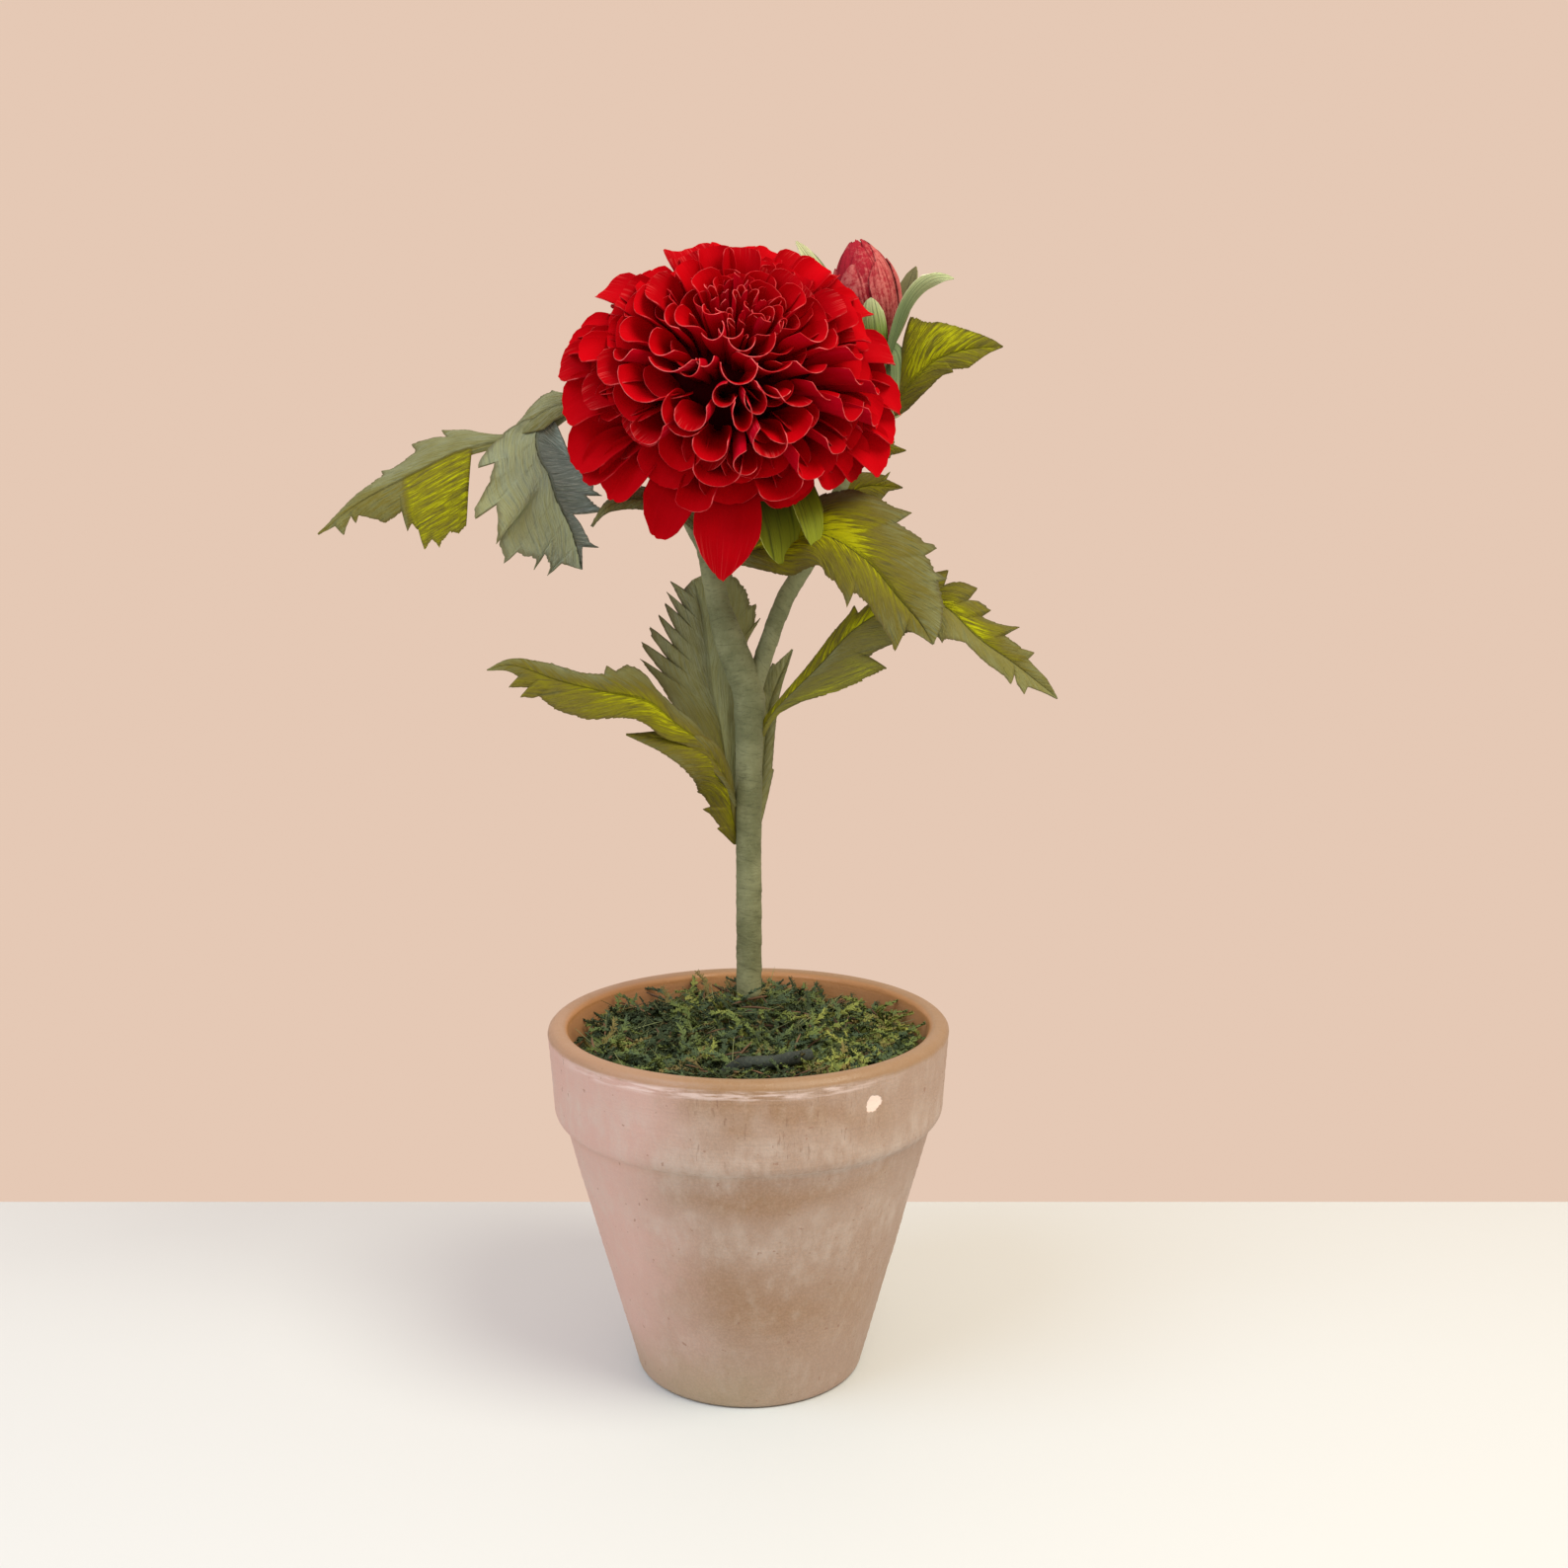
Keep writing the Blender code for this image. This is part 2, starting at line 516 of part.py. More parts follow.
def keep_main_body(thing):
    """Drops what a Boolean leaves loose: scraps, and the shells of hollows it sealed."""
    form = bmesh.new()
    form.from_mesh(thing.data)
    bmesh.ops.triangulate(form, faces=form.faces)
    bmesh.ops.remove_doubles(form, verts=form.verts, dist=WELD * MM)
    waiting = set(form.faces)
    bodies = []
    while waiting:
        body = [waiting.pop()]
        for face in body:
            for edge in face.edges:
                for neighbour in edge.link_faces:
                    if neighbour in waiting and len(edge.link_faces) == 2:
                        waiting.remove(neighbour)
                        body.append(neighbour)
        bodies.append(body)
    bodies.sort(key=lambda body: sum(face.calc_area() for face in body))
    spare = [face for body in bodies[:-1] for face in body]
    bmesh.ops.delete(form, geom=spare, context="FACES")
    form.to_mesh(thing.data)
    form.free()


def fused(name, solids, material, cutters=()):
    """One object from solids that cross, trimmed by the cutters to their clearance."""
    thing = make_object(name, *solids[0], material)
    if len(solids) > 1:
        apply_boolean(thing, solids[1:], "UNION")
    if cutters:
        apply_boolean(thing, cutters, "DIFFERENCE")
    keep_main_body(thing)
    return thing


def turned(name, profile, material):
    """A solid turned round the Z axis from a closed outline of (radius, height) points."""
    form = bmesh.new()
    ring = [form.verts.new((radius * MM, 0, height * MM)) for radius, height in profile]
    pairs = zip(ring, ring[1:] + ring[:1])
    edges = [form.edges.new(pair) for pair in pairs if pair[0].co.x or pair[1].co.x]
    bmesh.ops.spin(form, geom=ring + edges, axis=(0, 0, 1), cent=(0, 0, 0), steps=TURN_SEGMENTS,
                   angle=2 * math.pi, use_merge=True)
    bmesh.ops.remove_doubles(form, verts=form.verts, dist=0.00001)
    bmesh.ops.recalc_face_normals(form, faces=form.faces)
    mesh = bpy.data.meshes.new(name)
    form.to_mesh(mesh)
    form.free()
    mesh.materials.append(material)
    mesh.shade_smooth()
    mesh.set_sharp_from_angle(angle=math.radians(35))
    thing = bpy.data.objects.new(name, mesh)
    bpy.context.scene.collection.objects.link(thing)
    return thing


def arc(radius_at, height_at, radius, start, end, steps):
    return [(radius_at + radius * math.cos(math.radians(angle)),
             height_at + radius * math.sin(math.radians(angle)))
            for angle in (start + (end - start) * step / steps for step in range(steps + 1))]


def inner_radius(height):
    """The pot's inner wall below its rim, parallel to the outside."""
    slope = (BODY_TOP_RADIUS - FOOT_RADIUS) / (POT_HEIGHT - RIM_BAND)
    return FOOT_RADIUS - POT_WALL + slope * height


def band_inner_radius(height):
    """The pot's inner wall behind its rim band, from the step up to the lip."""
    low = POT_HEIGHT - RIM_BAND + BAND_STEP_UP
    foot = inner_radius(POT_HEIGHT - RIM_BAND) + BAND_STEP_IN
    share = (height - low) / (POT_HEIGHT - LIP_ROUNDING - low)
    return foot + (RIM_RADIUS - RIM_WALL - foot) * share


def make_pot(material):
    """The pot, turned from the drain hole up its outside, over the lip and down inside."""
    band_foot = POT_HEIGHT - RIM_BAND
    step = RIM_FOOT_RADIUS - BODY_TOP_RADIUS
    lip_in = RIM_RADIUS - RIM_WALL
    profile = [(DRAIN_RADIUS, 0)]
    profile += arc(FOOT_RADIUS - FOOT_ROUNDING, FOOT_ROUNDING, FOOT_ROUNDING, -90, -10, 2)
    profile += arc(BODY_TOP_RADIUS, band_foot + step * 0.7, step, -75, 0, 2)
    profile += arc(RIM_RADIUS - LIP_ROUNDING, POT_HEIGHT - LIP_ROUNDING, LIP_ROUNDING, 5, 80, 3)
    profile += arc(lip_in + LIP_ROUNDING, POT_HEIGHT - LIP_ROUNDING, LIP_ROUNDING, 110, 175, 2)
    profile += [(band_inner_radius(band_foot + BAND_STEP_UP), band_foot + BAND_STEP_UP),
                (inner_radius(band_foot - BAND_STEP_UP), band_foot - BAND_STEP_UP),
                (inner_radius(POT_FLOOR + FOOT_ROUNDING), POT_FLOOR + FOOT_ROUNDING),
                (inner_radius(POT_FLOOR) - FOOT_ROUNDING, POT_FLOOR), (DRAIN_RADIUS, POT_FLOOR)]
    return turned("pot", profile, material)


def make_filler(material, stem_cutter):
    """Set plaster that fills the pot, closes its drain hole and grips the stem."""
    below_step = POT_HEIGHT - RIM_BAND - BAND_STEP_UP
    above_step = POT_HEIGHT - RIM_BAND + BAND_STEP_UP
    above_floor = POT_FLOOR + FOOT_ROUNDING
    profile = [(0, 0), (DRAIN_RADIUS - GAP, 0), (DRAIN_RADIUS - GAP, POT_FLOOR + GAP),
               (inner_radius(POT_FLOOR) - FOOT_ROUNDING - GAP, POT_FLOOR + GAP),
               (inner_radius(above_floor) - GAP, above_floor + GAP / 2),
               (inner_radius(below_step) - GAP, below_step),
               (band_inner_radius(above_step) - GAP, above_step + GAP / 2),
               (band_inner_radius(FILLER_TOP) - GAP, FILLER_TOP), (0, FILLER_TOP)]
    filler = turned("plaster_filler", profile, material)
    apply_boolean(filler, [stem_cutter], "DIFFERENCE")
    keep_main_body(filler)
    return filler


def moss_height(x, y, rng):
    """The moss surface: it climbs round the stem, dips at the wall and is rough all over."""
    stem_x, stem_y, _ = STEM_ROUTE[2]
    from_stem = math.hypot(x - stem_x, y - stem_y)
    rise = MOSS_RISE * math.exp(-(from_stem / MOSS_RISE_REACH) ** 2)
    swell = 1.2 * math.sin(x / 9 + 1) + 1.0 * math.cos(y / 8 - x / 15)
    return MOSS_TOP + rise + swell + rng.uniform(-0.4, 1) * MOSS_TUFT


def make_moss(material):
    """One rough layer with a plain hole for the stem, from the hole out to the pot's wall."""
    rng = random.Random(SEED)
    stem_x, stem_y, _ = STEM_ROUTE[2]
    hole = STEM_RADII[2] + 2 * GAP
    low = FILLER_TOP + GAP
    edge_height = MOSS_TOP - MOSS_EDGE_DROP
    wall = band_inner_radius(edge_height) - GAP
    low_wall = band_inner_radius(low) - GAP
    points, faces = [], []
    rings = MOSS_RINGS + 1
    for ring in range(rings):
        share = ring / MOSS_RINGS
        reach = hole + (wall - hole) * share
        for segment in range(TURN_SEGMENTS):
            shift = 0.5 if ring % 2 and ring < MOSS_RINGS else 0
            angle = 2 * math.pi * (segment + shift) / TURN_SEGMENTS
            x = reach * math.cos(angle) + stem_x * (1 - share)
            y = reach * math.sin(angle) + stem_y * (1 - share)
            height = moss_height(x, y, rng)
            if ring == MOSS_RINGS:
                height = edge_height
            points.append(Vector((x, y, height)))
    for radius, centre_x, centre_y in ((low_wall, 0, 0), (hole, stem_x, stem_y)):
        for segment in range(TURN_SEGMENTS):
            angle = 2 * math.pi * segment / TURN_SEGMENTS
            points.append(Vector((radius * math.cos(angle) + centre_x,
                                  radius * math.sin(angle) + centre_y, low)))
    for ring in range(rings + 1):
        for segment in range(TURN_SEGMENTS):
            following = (segment + 1) % TURN_SEGMENTS
            a = ring * TURN_SEGMENTS + segment
            b = ring * TURN_SEGMENTS + following
            faces += [(a, a + TURN_SEGMENTS, b), (b, a + TURN_SEGMENTS, b + TURN_SEGMENTS)]
    last = (rings + 1) * TURN_SEGMENTS
    for segment in range(TURN_SEGMENTS):
        following = (segment + 1) % TURN_SEGMENTS
        faces += [(last + segment, segment, last + following),
                  (last + following, segment, following)]
    return make_object("moss", points, faces, material)


def flower_direction(polar, turn):
    """A direction in the bloom's frame: an angle from its axis, and a turn round it."""
    right = Vector((0, 0, 1)).cross(BLOOM_AXIS).normalized()
    back = BLOOM_AXIS.cross(right)
    return (BLOOM_AXIS * math.cos(polar)
            + (right * math.cos(turn) + back * math.sin(turn)) * math.sin(polar))


def dome_reach(polar):
    height = DOME_HEIGHT if polar < math.pi / 2 else DOME_BACK
    return 1 / math.hypot(math.cos(polar) / height, math.sin(polar) / DOME_RADIUS)


def core_root(direction):
    """Where a petal that points this way leaves the core, sunk below its surface."""
    middle = BLOOM_CENTRE - BLOOM_AXIS * CORE_DEPTH
    along = direction.dot(BLOOM_AXIS)
    across = math.sqrt(max(1 - along * along, 0))
    height = CORE_HEIGHT if along > 0 else CORE_BACK
    reach = 1 / math.hypot(along / height, across / CORE_RADIUS)
    return middle + direction * (reach - ROOT_SUNK)


def bloom_petal(tip, width, roll, bow, rows, columns, blunt=0.55):
    """One petal, cupped toward the bloom's axis, from the core to its tip."""
    middle = BLOOM_CENTRE - BLOOM_AXIS * CORE_DEPTH
    root = core_root((tip - middle).normalized())
    bend = root.lerp(tip, 0.5) + BLOOM_AXIS * bow
    path = even_path([root, bend, tip], 12)
    return cupped_sheet(path, lambda point: BLOOM_AXIS, width, roll,
                        lambda place: outline_round(place, blunt), rows, columns)


def dome_petals():
    """The rows inside the outline: tight quills in the middle, growing and opening outward."""
    rng = random.Random(SEED)
    solids = []
    for index in range(DOME_PETALS):
        share = (index + 0.6) / DOME_PETALS
        polar = math.radians(DOME_REACH) * share ** DOME_CROWDING
        polar += math.radians(rng.uniform(-2, 2))
        turn = index * GOLDEN_ANGLE + rng.uniform(-0.08, 0.08)
        grown = min(math.degrees(polar) / GROWN_FROM, 1)
        opened = max(math.degrees(polar) - OPENED_FROM, 0) / (90 - OPENED_FROM)
        width = QUILL_WIDTH + (OPEN_WIDTH - QUILL_WIDTH) * grown + rng.uniform(-0.8, 0.8)
        roll = (QUILL_ROLL + (INNER_ROLL - QUILL_ROLL) * grown
                + (OPEN_ROLL - INNER_ROLL) * opened + rng.uniform(-8, 8))
        reach = dome_reach(polar) * rng.uniform(0.95, 1.03)
        tip = BLOOM_CENTRE + flower_direction(polar, turn) * reach
        rows, columns = (2, 2) if share < SMALL_SHARE else (3, 4)
        solids.append(bloom_petal(tip, width, roll, 1 + 2 * opened, rows, columns))
    return solids


def back_petals():
    """The outermost row, which spreads behind the outline's petals all the way round."""
    rng = random.Random(SEED + 1)
    solids = []
    for index in range(BACK_PETALS):
        polar = math.radians(BACK_REACH + rng.uniform(-5, 5))
        turn = 2 * math.pi * (index + 0.5) / BACK_PETALS
        tip = BLOOM_CENTRE + flower_direction(polar, turn) * BACK_LENGTH
        solids.append(bloom_petal(tip, BACK_WIDTH, BACK_ROLL, 3, 3, 3))
    return solids


def bloom_core(extra=0.0):
    return egg(BLOOM_CENTRE - BLOOM_AXIS * CORE_DEPTH, BLOOM_AXIS, CORE_RADIUS, CORE_HEIGHT,
               CORE_BACK, 14, 7, extra)


def make_bloom(material):
    core = bloom_core()
    rim = [bloom_petal(Vector(tip), width, roll, bow, 3, 4, blunt)
           for tip, width, roll, bow, blunt in OUTER_PETALS]
    return fused("bloom_petals", [core] + rim + dome_petals() + back_petals(), material)


def make_calyx(material, stem_cutter):
    """The green cup behind the bloom, hollowed to its core and stem, with loose bracts."""
    points, faces = [], []
    segments = 12
    for place, radius in CUP_PROFILE:
        for segment in range(segments):
            turn = 2 * math.pi * segment / segments
            out = flower_direction(math.pi / 2, turn)
            points.append(BLOOM_CENTRE + BLOOM_AXIS * place + out * radius)
    for row in range(len(CUP_PROFILE) - 1):
        for segment in range(segments):
            following = (segment + 1) % segments
            a = row * segments + segment
            b = row * segments + following
            faces.append((a, b, b + segments, a + segments))
    faces.append(tuple(reversed(range(segments))))
    faces.append(tuple(range(len(points) - segments, len(points))))
    bracts = []
    for route in BRACTS:
        path = even_path([BLOOM_CENTRE + BLOOM_AXIS * CUP_MIDDLE] + route, 12)
        bracts.append(cupped_sheet(path, lambda point: BLOOM_AXIS, BRACT_WIDTH, 30,
                                   outline_round, 3, 2))
    return fused("bloom_calyx", [(points, faces)] + bracts, material,
                 [bloom_core(GAP), stem_cutter])


def bud_point(place, turn, extra):
    """A point on the bud's surface: a place along its axis and a turn round it."""
    axis = BUD_TOP - BUD_BASE
    along = axis.normalized()
    side = along.cross(Vector((0, 1, 0))).normalized()
    other = along.cross(side)
    swell = math.sin(math.pi * place ** BUD_SWELL[0]) ** BUD_SWELL[1]
    radius = (BUD_RADIUS + extra) * swell
    return BUD_BASE + axis * place + radius * (side * math.cos(turn) + other * math.sin(turn))


def bud_core(extra=0.0):
    axis = BUD_TOP - BUD_BASE
    return egg(BUD_BASE + axis * 0.46, axis.normalized(), BUD_CORE_RADIUS, axis.length * 0.5,
               axis.length * 0.42, 12, 7, extra)


def make_bud(material):
    """A closed bud: pointed petals in rows hug a slim core."""
    along = (BUD_TOP - BUD_BASE).normalized()

    def inward(point):
        from_axis = point - BUD_BASE
        from_axis -= along * from_axis.dot(along)
        return from_axis.cross(along) * BUD_TWIST - from_axis

    solids = [bud_core()]
    for count, top, shift, width, lift in BUD_ROWS:
        for index in range(count):
            turn = 2 * math.pi * (index + shift) / count
            route = [bud_point(0.12 + (top - 0.12) * step / 4, turn, lift) for step in range(5)]

            solids.append(cupped_sheet(even_path(route, 12), inward, width, 48,
                                       outline_pointed, 3, 2))
    return fused("bud_petals", solids, material)


def make_sepals(material, stem_cutter):
    """The bud's green cup with its curled sepals, hollowed to the bud and its branch."""
    along = (BUD_TOP - BUD_BASE).normalized()

    def inward(point):
        from_base = point - BUD_BASE
        return along * from_base.dot(along) - from_base

    solids = [egg(BUD_BASE, along, BUD_CUP_RADIUS, BUD_CUP_TOP, BUD_CUP_BOTTOM, 12, 6)]
    for route, width in SEPALS:
        solids.append(cupped_sheet(even_path([BUD_BASE] + route, 16), inward, width, 26,
                                   outline_pointed, 6, 2))
    return fused("bud_sepals", solids, material, [bud_core(GAP), stem_cutter])


def build():
    for thing in list(bpy.data.objects):
        bpy.data.objects.remove(thing)
    terracotta = paper("terracotta", (0.62, 0.36, 0.26), 0.75)
    plaster = paper("plaster", (0.78, 0.76, 0.71), 0.85)
    moss = paper("moss", (0.10, 0.17, 0.05), 0.95)
    stem_paper = paper("stem_paper", (0.24, 0.30, 0.16), 0.80)
    leaf_paper = paper("leaf_paper", (0.21, 0.27, 0.06), 0.75)
    petal_paper = paper("petal_paper", (0.52, 0.01, 0.02), 0.70)
    bud_paper = paper("bud_paper", (0.36, 0.05, 0.06), 0.75)

    make_pot(terracotta)
    stem_cutter = tube(STEM_ROUTE, STEM_RADII, STEM_SIDES, GAP)
    branch_cutter = tube(BRANCH_ROUTE, BRANCH_RADII, STEM_SIDES, GAP)
    wood = [stem_cutter, branch_cutter]
    make_filler(plaster, stem_cutter)
    make_moss(moss)
    fused("stem", [tube(STEM_ROUTE, STEM_RADII, STEM_SIDES),
                   tube(BRANCH_ROUTE, BRANCH_RADII, STEM_SIDES)], stem_paper)
    make_bloom(petal_paper)
    make_calyx(leaf_paper, stem_cutter)
    make_bud(bud_paper)
    make_sepals(leaf_paper, branch_cutter)

    stalk = tube(SPRAY_STALK, SPRAY_STALK_RADII, 6)
    fused("leaf_spray_upper_left", [stalk, blade(SHEATH), blade(BIG_LEAFLET),
                                    blade(FAR_LEAFLET)], leaf_paper, wood)
    fused("leaf_pair_left", [blade(MIDDLE_LEAF), blade(LOW_LEAF)], leaf_paper, wood)
    for name, leaf in (("leaf_spiky_left", SPIKY_LEAF),
                       ("leaf_below_bloom", LEAF_BELOW_BLOOM), ("leaf_big_right", BIG_LEAF),
                       ("leaf_long_right", LONG_LEAF), ("leaf_slim_right", SLIM_LEAF),
                       ("leaf_beside_bud", BUD_LEAF), ("leaf_tip_high", HIGH_TIP_LEAF),
                       ("leaf_tip_low", LOW_TIP_LEAF)):
        fused(name, [blade(leaf)], leaf_paper, wood)


build()
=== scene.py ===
# Potted paper dahlia: the looks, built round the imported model.
# Places are in millimetres until they go into a mesh. +X is to the viewer's right, +Y away from
# the viewer and +Z up, and the origin is the middle of the pot's foot.
import math
import random

import bmesh
import bpy
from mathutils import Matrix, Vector, noise


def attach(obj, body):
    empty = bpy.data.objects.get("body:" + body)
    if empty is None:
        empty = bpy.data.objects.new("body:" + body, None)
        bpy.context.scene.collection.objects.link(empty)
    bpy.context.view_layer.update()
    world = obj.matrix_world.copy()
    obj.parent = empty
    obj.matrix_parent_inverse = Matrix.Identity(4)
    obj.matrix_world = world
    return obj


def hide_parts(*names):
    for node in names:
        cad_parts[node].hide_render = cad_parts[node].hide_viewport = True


mm = 0.001
goldenAngle = math.pi * (3 - math.sqrt(5))

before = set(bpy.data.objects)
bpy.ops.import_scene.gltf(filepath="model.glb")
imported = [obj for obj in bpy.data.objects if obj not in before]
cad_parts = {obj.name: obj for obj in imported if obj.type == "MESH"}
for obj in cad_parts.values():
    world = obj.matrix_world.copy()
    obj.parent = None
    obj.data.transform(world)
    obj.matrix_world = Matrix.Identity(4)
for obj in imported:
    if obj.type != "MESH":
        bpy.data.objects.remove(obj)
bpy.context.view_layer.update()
print("frame loaded")


# nodes by arithmetic: a Field is a socket that sums and products extend

class Field:
    def __init__(self, tree, socket):
        self.tree = tree
        self.socket = socket

    def calc(self, operation, *others, out=0):
        parts = (self,) + others
        isVector = any(part.socket.type in {"VECTOR", "RGBA"} if isinstance(part, Field)
                       else hasattr(part, "__len__") for part in parts)
        made = self.tree.nodes.new("ShaderNodeVectorMath" if isVector else "ShaderNodeMath")
        made.operation = operation
        for socket, part in zip(made.inputs, parts):
            feed(self.tree, part, socket)
        return Field(self.tree, made.outputs[out])

    def __add__(self, other):
        return self.calc("ADD", other)

    def __sub__(self, other):
        return self.calc("SUBTRACT", other)

    def __rsub__(self, other):
        return self.calc("MULTIPLY", -1.0).calc("ADD", other)

    def __mul__(self, other):
        return self.calc("MULTIPLY", other)

    def __truediv__(self, other):
        return self.calc("DIVIDE", other)

    def __rtruediv__(self, other):
        return self.calc("POWER", -1.0) * other

    def __pow__(self, other):
        return self.calc("POWER", other)

    __radd__ = __add__
    __rmul__ = __mul__

    def dot(self, other):
        return self.calc("DOT_PRODUCT", other, out=1)

    def cross(self, other):
        return self.calc("CROSS_PRODUCT", other)

    def unit(self):
        return self.calc("NORMALIZE")

    def size(self):
        return self.calc("ABSOLUTE")


def feed(tree, value, socket):
    if isinstance(value, Field):
        tree.links.new(value.socket, socket)
    elif socket.type == "VECTOR" and not hasattr(value, "__len__"):
        socket.default_value = (value, value, value)
    elif socket.type == "RGBA" and len(value) == 3:
        socket.default_value = (*value, 1.0)
    else:
        socket.default_value = value


class Graph:
    def __init__(self, tree):
        self.tree = tree

    def add(self, kind, inputs=None, out=0, **settings):
        made = self.tree.nodes.new(kind)
        for name, value in settings.items():
            setattr(made, name, value)
        for key, value in (inputs or {}).items():
            feed(self.tree, value, made.inputs[key])
        return Field(self.tree, made.outputs[out])

    def join(self, x, y, z=0.0):
        return self.add("ShaderNodeCombineXYZ", {0: x, 1: y, 2: z})

    def split(self, vector):
        made = self.add("ShaderNodeSeparateXYZ", {0: vector}).socket.node
        return [Field(self.tree, output) for output in made.outputs]

    def ramp(self, value, low, high, start=0.0, end=1.0, soft=True):
        return self.add("ShaderNodeMapRange", {0: value, 1: low, 2: high, 3: start, 4: end},
                        interpolation_type="SMOOTHSTEP" if soft else "LINEAR")

    def noise(self, at, scale, detail=2.0, roughness=0.5):
        return self.add("ShaderNodeTexNoise", {"Vector": at, "Scale": scale, "Detail": detail,
                                               "Roughness": roughness})

    def blend(self, share, first, second):
        return self.add("ShaderNodeMix", {0: share, 6: first, 7: second}, out=2,
                        data_type="RGBA")

    def paint(self, colour, *coats):
        # each coat is its share of cover and its colour code
        for share, code in coats:
            colour = self.blend(share, colour, tint(code))
        return colour

    # geometry trees only
    def named(self, name, kind="FLOAT"):
        return self.add("GeometryNodeInputNamedAttribute", {"Name": name}, data_type=kind)

    def store(self, geometry, name, value, kind="FLOAT", domain="POINT"):
        return self.add("GeometryNodeStoreNamedAttribute",
                        {"Geometry": geometry, "Name": name, "Value": value},
                        data_type=kind, domain=domain)

    def rand(self, low, high, seed):
        return self.add("FunctionNodeRandomValue", {2: low, 3: high, "Seed": seed}, out=1,
                        data_type="FLOAT")

    def close(self, geometry, material, end):
        # gives the geometry its material and ends the tree with it
        made = self.add("GeometryNodeSetMaterial",
                        {"Geometry": geometry, "Material": material})
        self.tree.links.new(made.socket, end.inputs[0])
        return self.tree

    # shader trees only
    def attribute(self, name):
        return self.add("ShaderNodeAttribute", out=2, attribute_name=name)

    def attributes(self, *names):
        return [self.attribute(name) for name in names]

    def objectPlace(self):
        return self.add("ShaderNodeTexCoord", out=3)

    def millimetres(self):
        return self.objectPlace() * (1 / mm)


def tint(code):
    # linear colour from the usual six figures
    values = [int(code[at:at + 2], 16) / 255 for at in (0, 2, 4)]
    return tuple(value / 12.92 if value <= 0.04045 else ((value + 0.055) / 1.055) ** 2.4
                 for value in values)


def finish(name, build, **fixed):
    # a material whose build function returns the fields that vary over the surface
    material = bpy.data.materials.new(name)
    material.use_nodes = True
    graph = Graph(material.node_tree)
    shader = material.node_tree.nodes["Principled BSDF"]
    for key, value in fixed.items():
        shader.inputs[key.replace("_", " ")].default_value = value
    for key, value in build(graph).items():
        if key == "Height":
            height, distance = value
            value = graph.add("ShaderNodeBump", {"Height": height, "Distance": distance,
                                                 "Strength": 1.0})
            key = "Normal"
        feed(material.node_tree, value, shader.inputs[key])
    return material


def newTree(name, inputs):
    # a geometry tree with named inputs; gives its graph, its input fields and its output node
    tree = bpy.data.node_groups.new(name, "GeometryNodeTree")
    for label, kind in inputs:
        tree.interface.new_socket(name=label, in_out="INPUT", socket_type="NodeSocket" + kind)
    tree.interface.new_socket(name="Geometry", in_out="OUTPUT",
                              socket_type="NodeSocketGeometry")
    start = tree.nodes.new("NodeGroupInput")
    end = tree.nodes.new("NodeGroupOutput")
    fields = {label: Field(tree, start.outputs[label]) for label, _ in inputs}
    return Graph(tree), fields, end


def settle(thing):
    # turns what the modifiers make into a plain mesh
    depsgraph = bpy.context.evaluated_depsgraph_get()
    mesh = bpy.data.meshes.new_from_object(thing.evaluated_get(depsgraph),
                                           preserve_all_data_layers=True, depsgraph=depsgraph)
    thing.modifiers.clear()
    thing.data = mesh
    return thing


def growWith(thing, tree, values):
    modifier = thing.modifiers.new(tree.name, "NODES")
    modifier.node_group = tree
    for item in tree.interface.items_tree:
        if item.item_type == "SOCKET" and item.in_out == "INPUT" and item.name in values:
            modifier[item.identifier] = values[item.name]
    return settle(thing)


def makeThing(name, points, faces, materials=(), edges=(), values=None):
    # points in millimetres; values are attributes with one entry for each point
    mesh = bpy.data.meshes.new(name)
    mesh.from_pydata([tuple(mm * value for value in point) for point in points], edges, faces)
    for material in materials:
        mesh.materials.append(material)
    for label, data in (values or {}).items():
        isVector = hasattr(data[0], "__len__")
        layer = mesh.attributes.new(label, "FLOAT_VECTOR" if isVector else "FLOAT", "POINT")
        flat = [part for entry in data for part in entry] if isVector else data
        layer.data.foreach_set("vector" if isVector else "value", flat)
    if faces:
        mesh.shade_smooth()
    thing = bpy.data.objects.new(name, mesh)
    bpy.context.scene.collection.objects.link(thing)
    return thing


def circle(sides):
    # the cosine and the sine of each step round a ring
    turns = [2 * math.pi * side / sides for side in range(sides)]
    return [(math.cos(turn), math.sin(turn)) for turn in turns]


def ringFaces(rings, sides, start=0, closed=False, inward=False):
    # the faces between rings of points that follow one another
    faces = []
    for ring in range(rings if closed else rings - 1):
        step = ((ring + 1) % rings - ring) * sides
        for side in range(sides):
            a = start + ring * sides + side
            b = start + ring * sides + (side + 1) % sides
            faces.append((a, a + step, b + step, b) if inward else (a, b, b + step, a + step))
    return faces


def giveThickness(thing, thickness, materials):
    # the sheet is the front; its back and its cut edge take the next two materials
    thing.data.materials.clear()
    for material in materials:
        thing.data.materials.append(material)
    solid = thing.modifiers.new("thickness", "SOLIDIFY")
    solid.thickness = thickness * mm
    solid.offset = 0.0
    solid.material_offset = 1
    solid.material_offset_rim = 2
    settle(thing)
    thing.data.shade_smooth()
    thing.data.set_sharp_from_angle(angle=math.radians(60))
    return thing


def place(thing, slot, *nodes):
    # puts a finished piece on the model, in place of the nodes it stands for
    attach(thing, "root")
    if nodes:
        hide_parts(*nodes)


# smooth routes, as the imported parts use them

def smoothPoint(points, share):
    spans = len(points) - 1
    span = min(int(share * spans), spans - 1)
    step = share * spans - span
    second, third = Vector(points[span]), Vector(points[span + 1])
    first = Vector(points[span - 1]) if span > 0 else 2 * second - third
    fourth = Vector(points[span + 2]) if span + 2 <= spans else 2 * third - second
    return 0.5 * (2 * second + (third - first) * step
                  + (2 * first - 5 * second + 4 * third - fourth) * step ** 2
                  + (3 * second - first - 3 * third + fourth) * step ** 3)


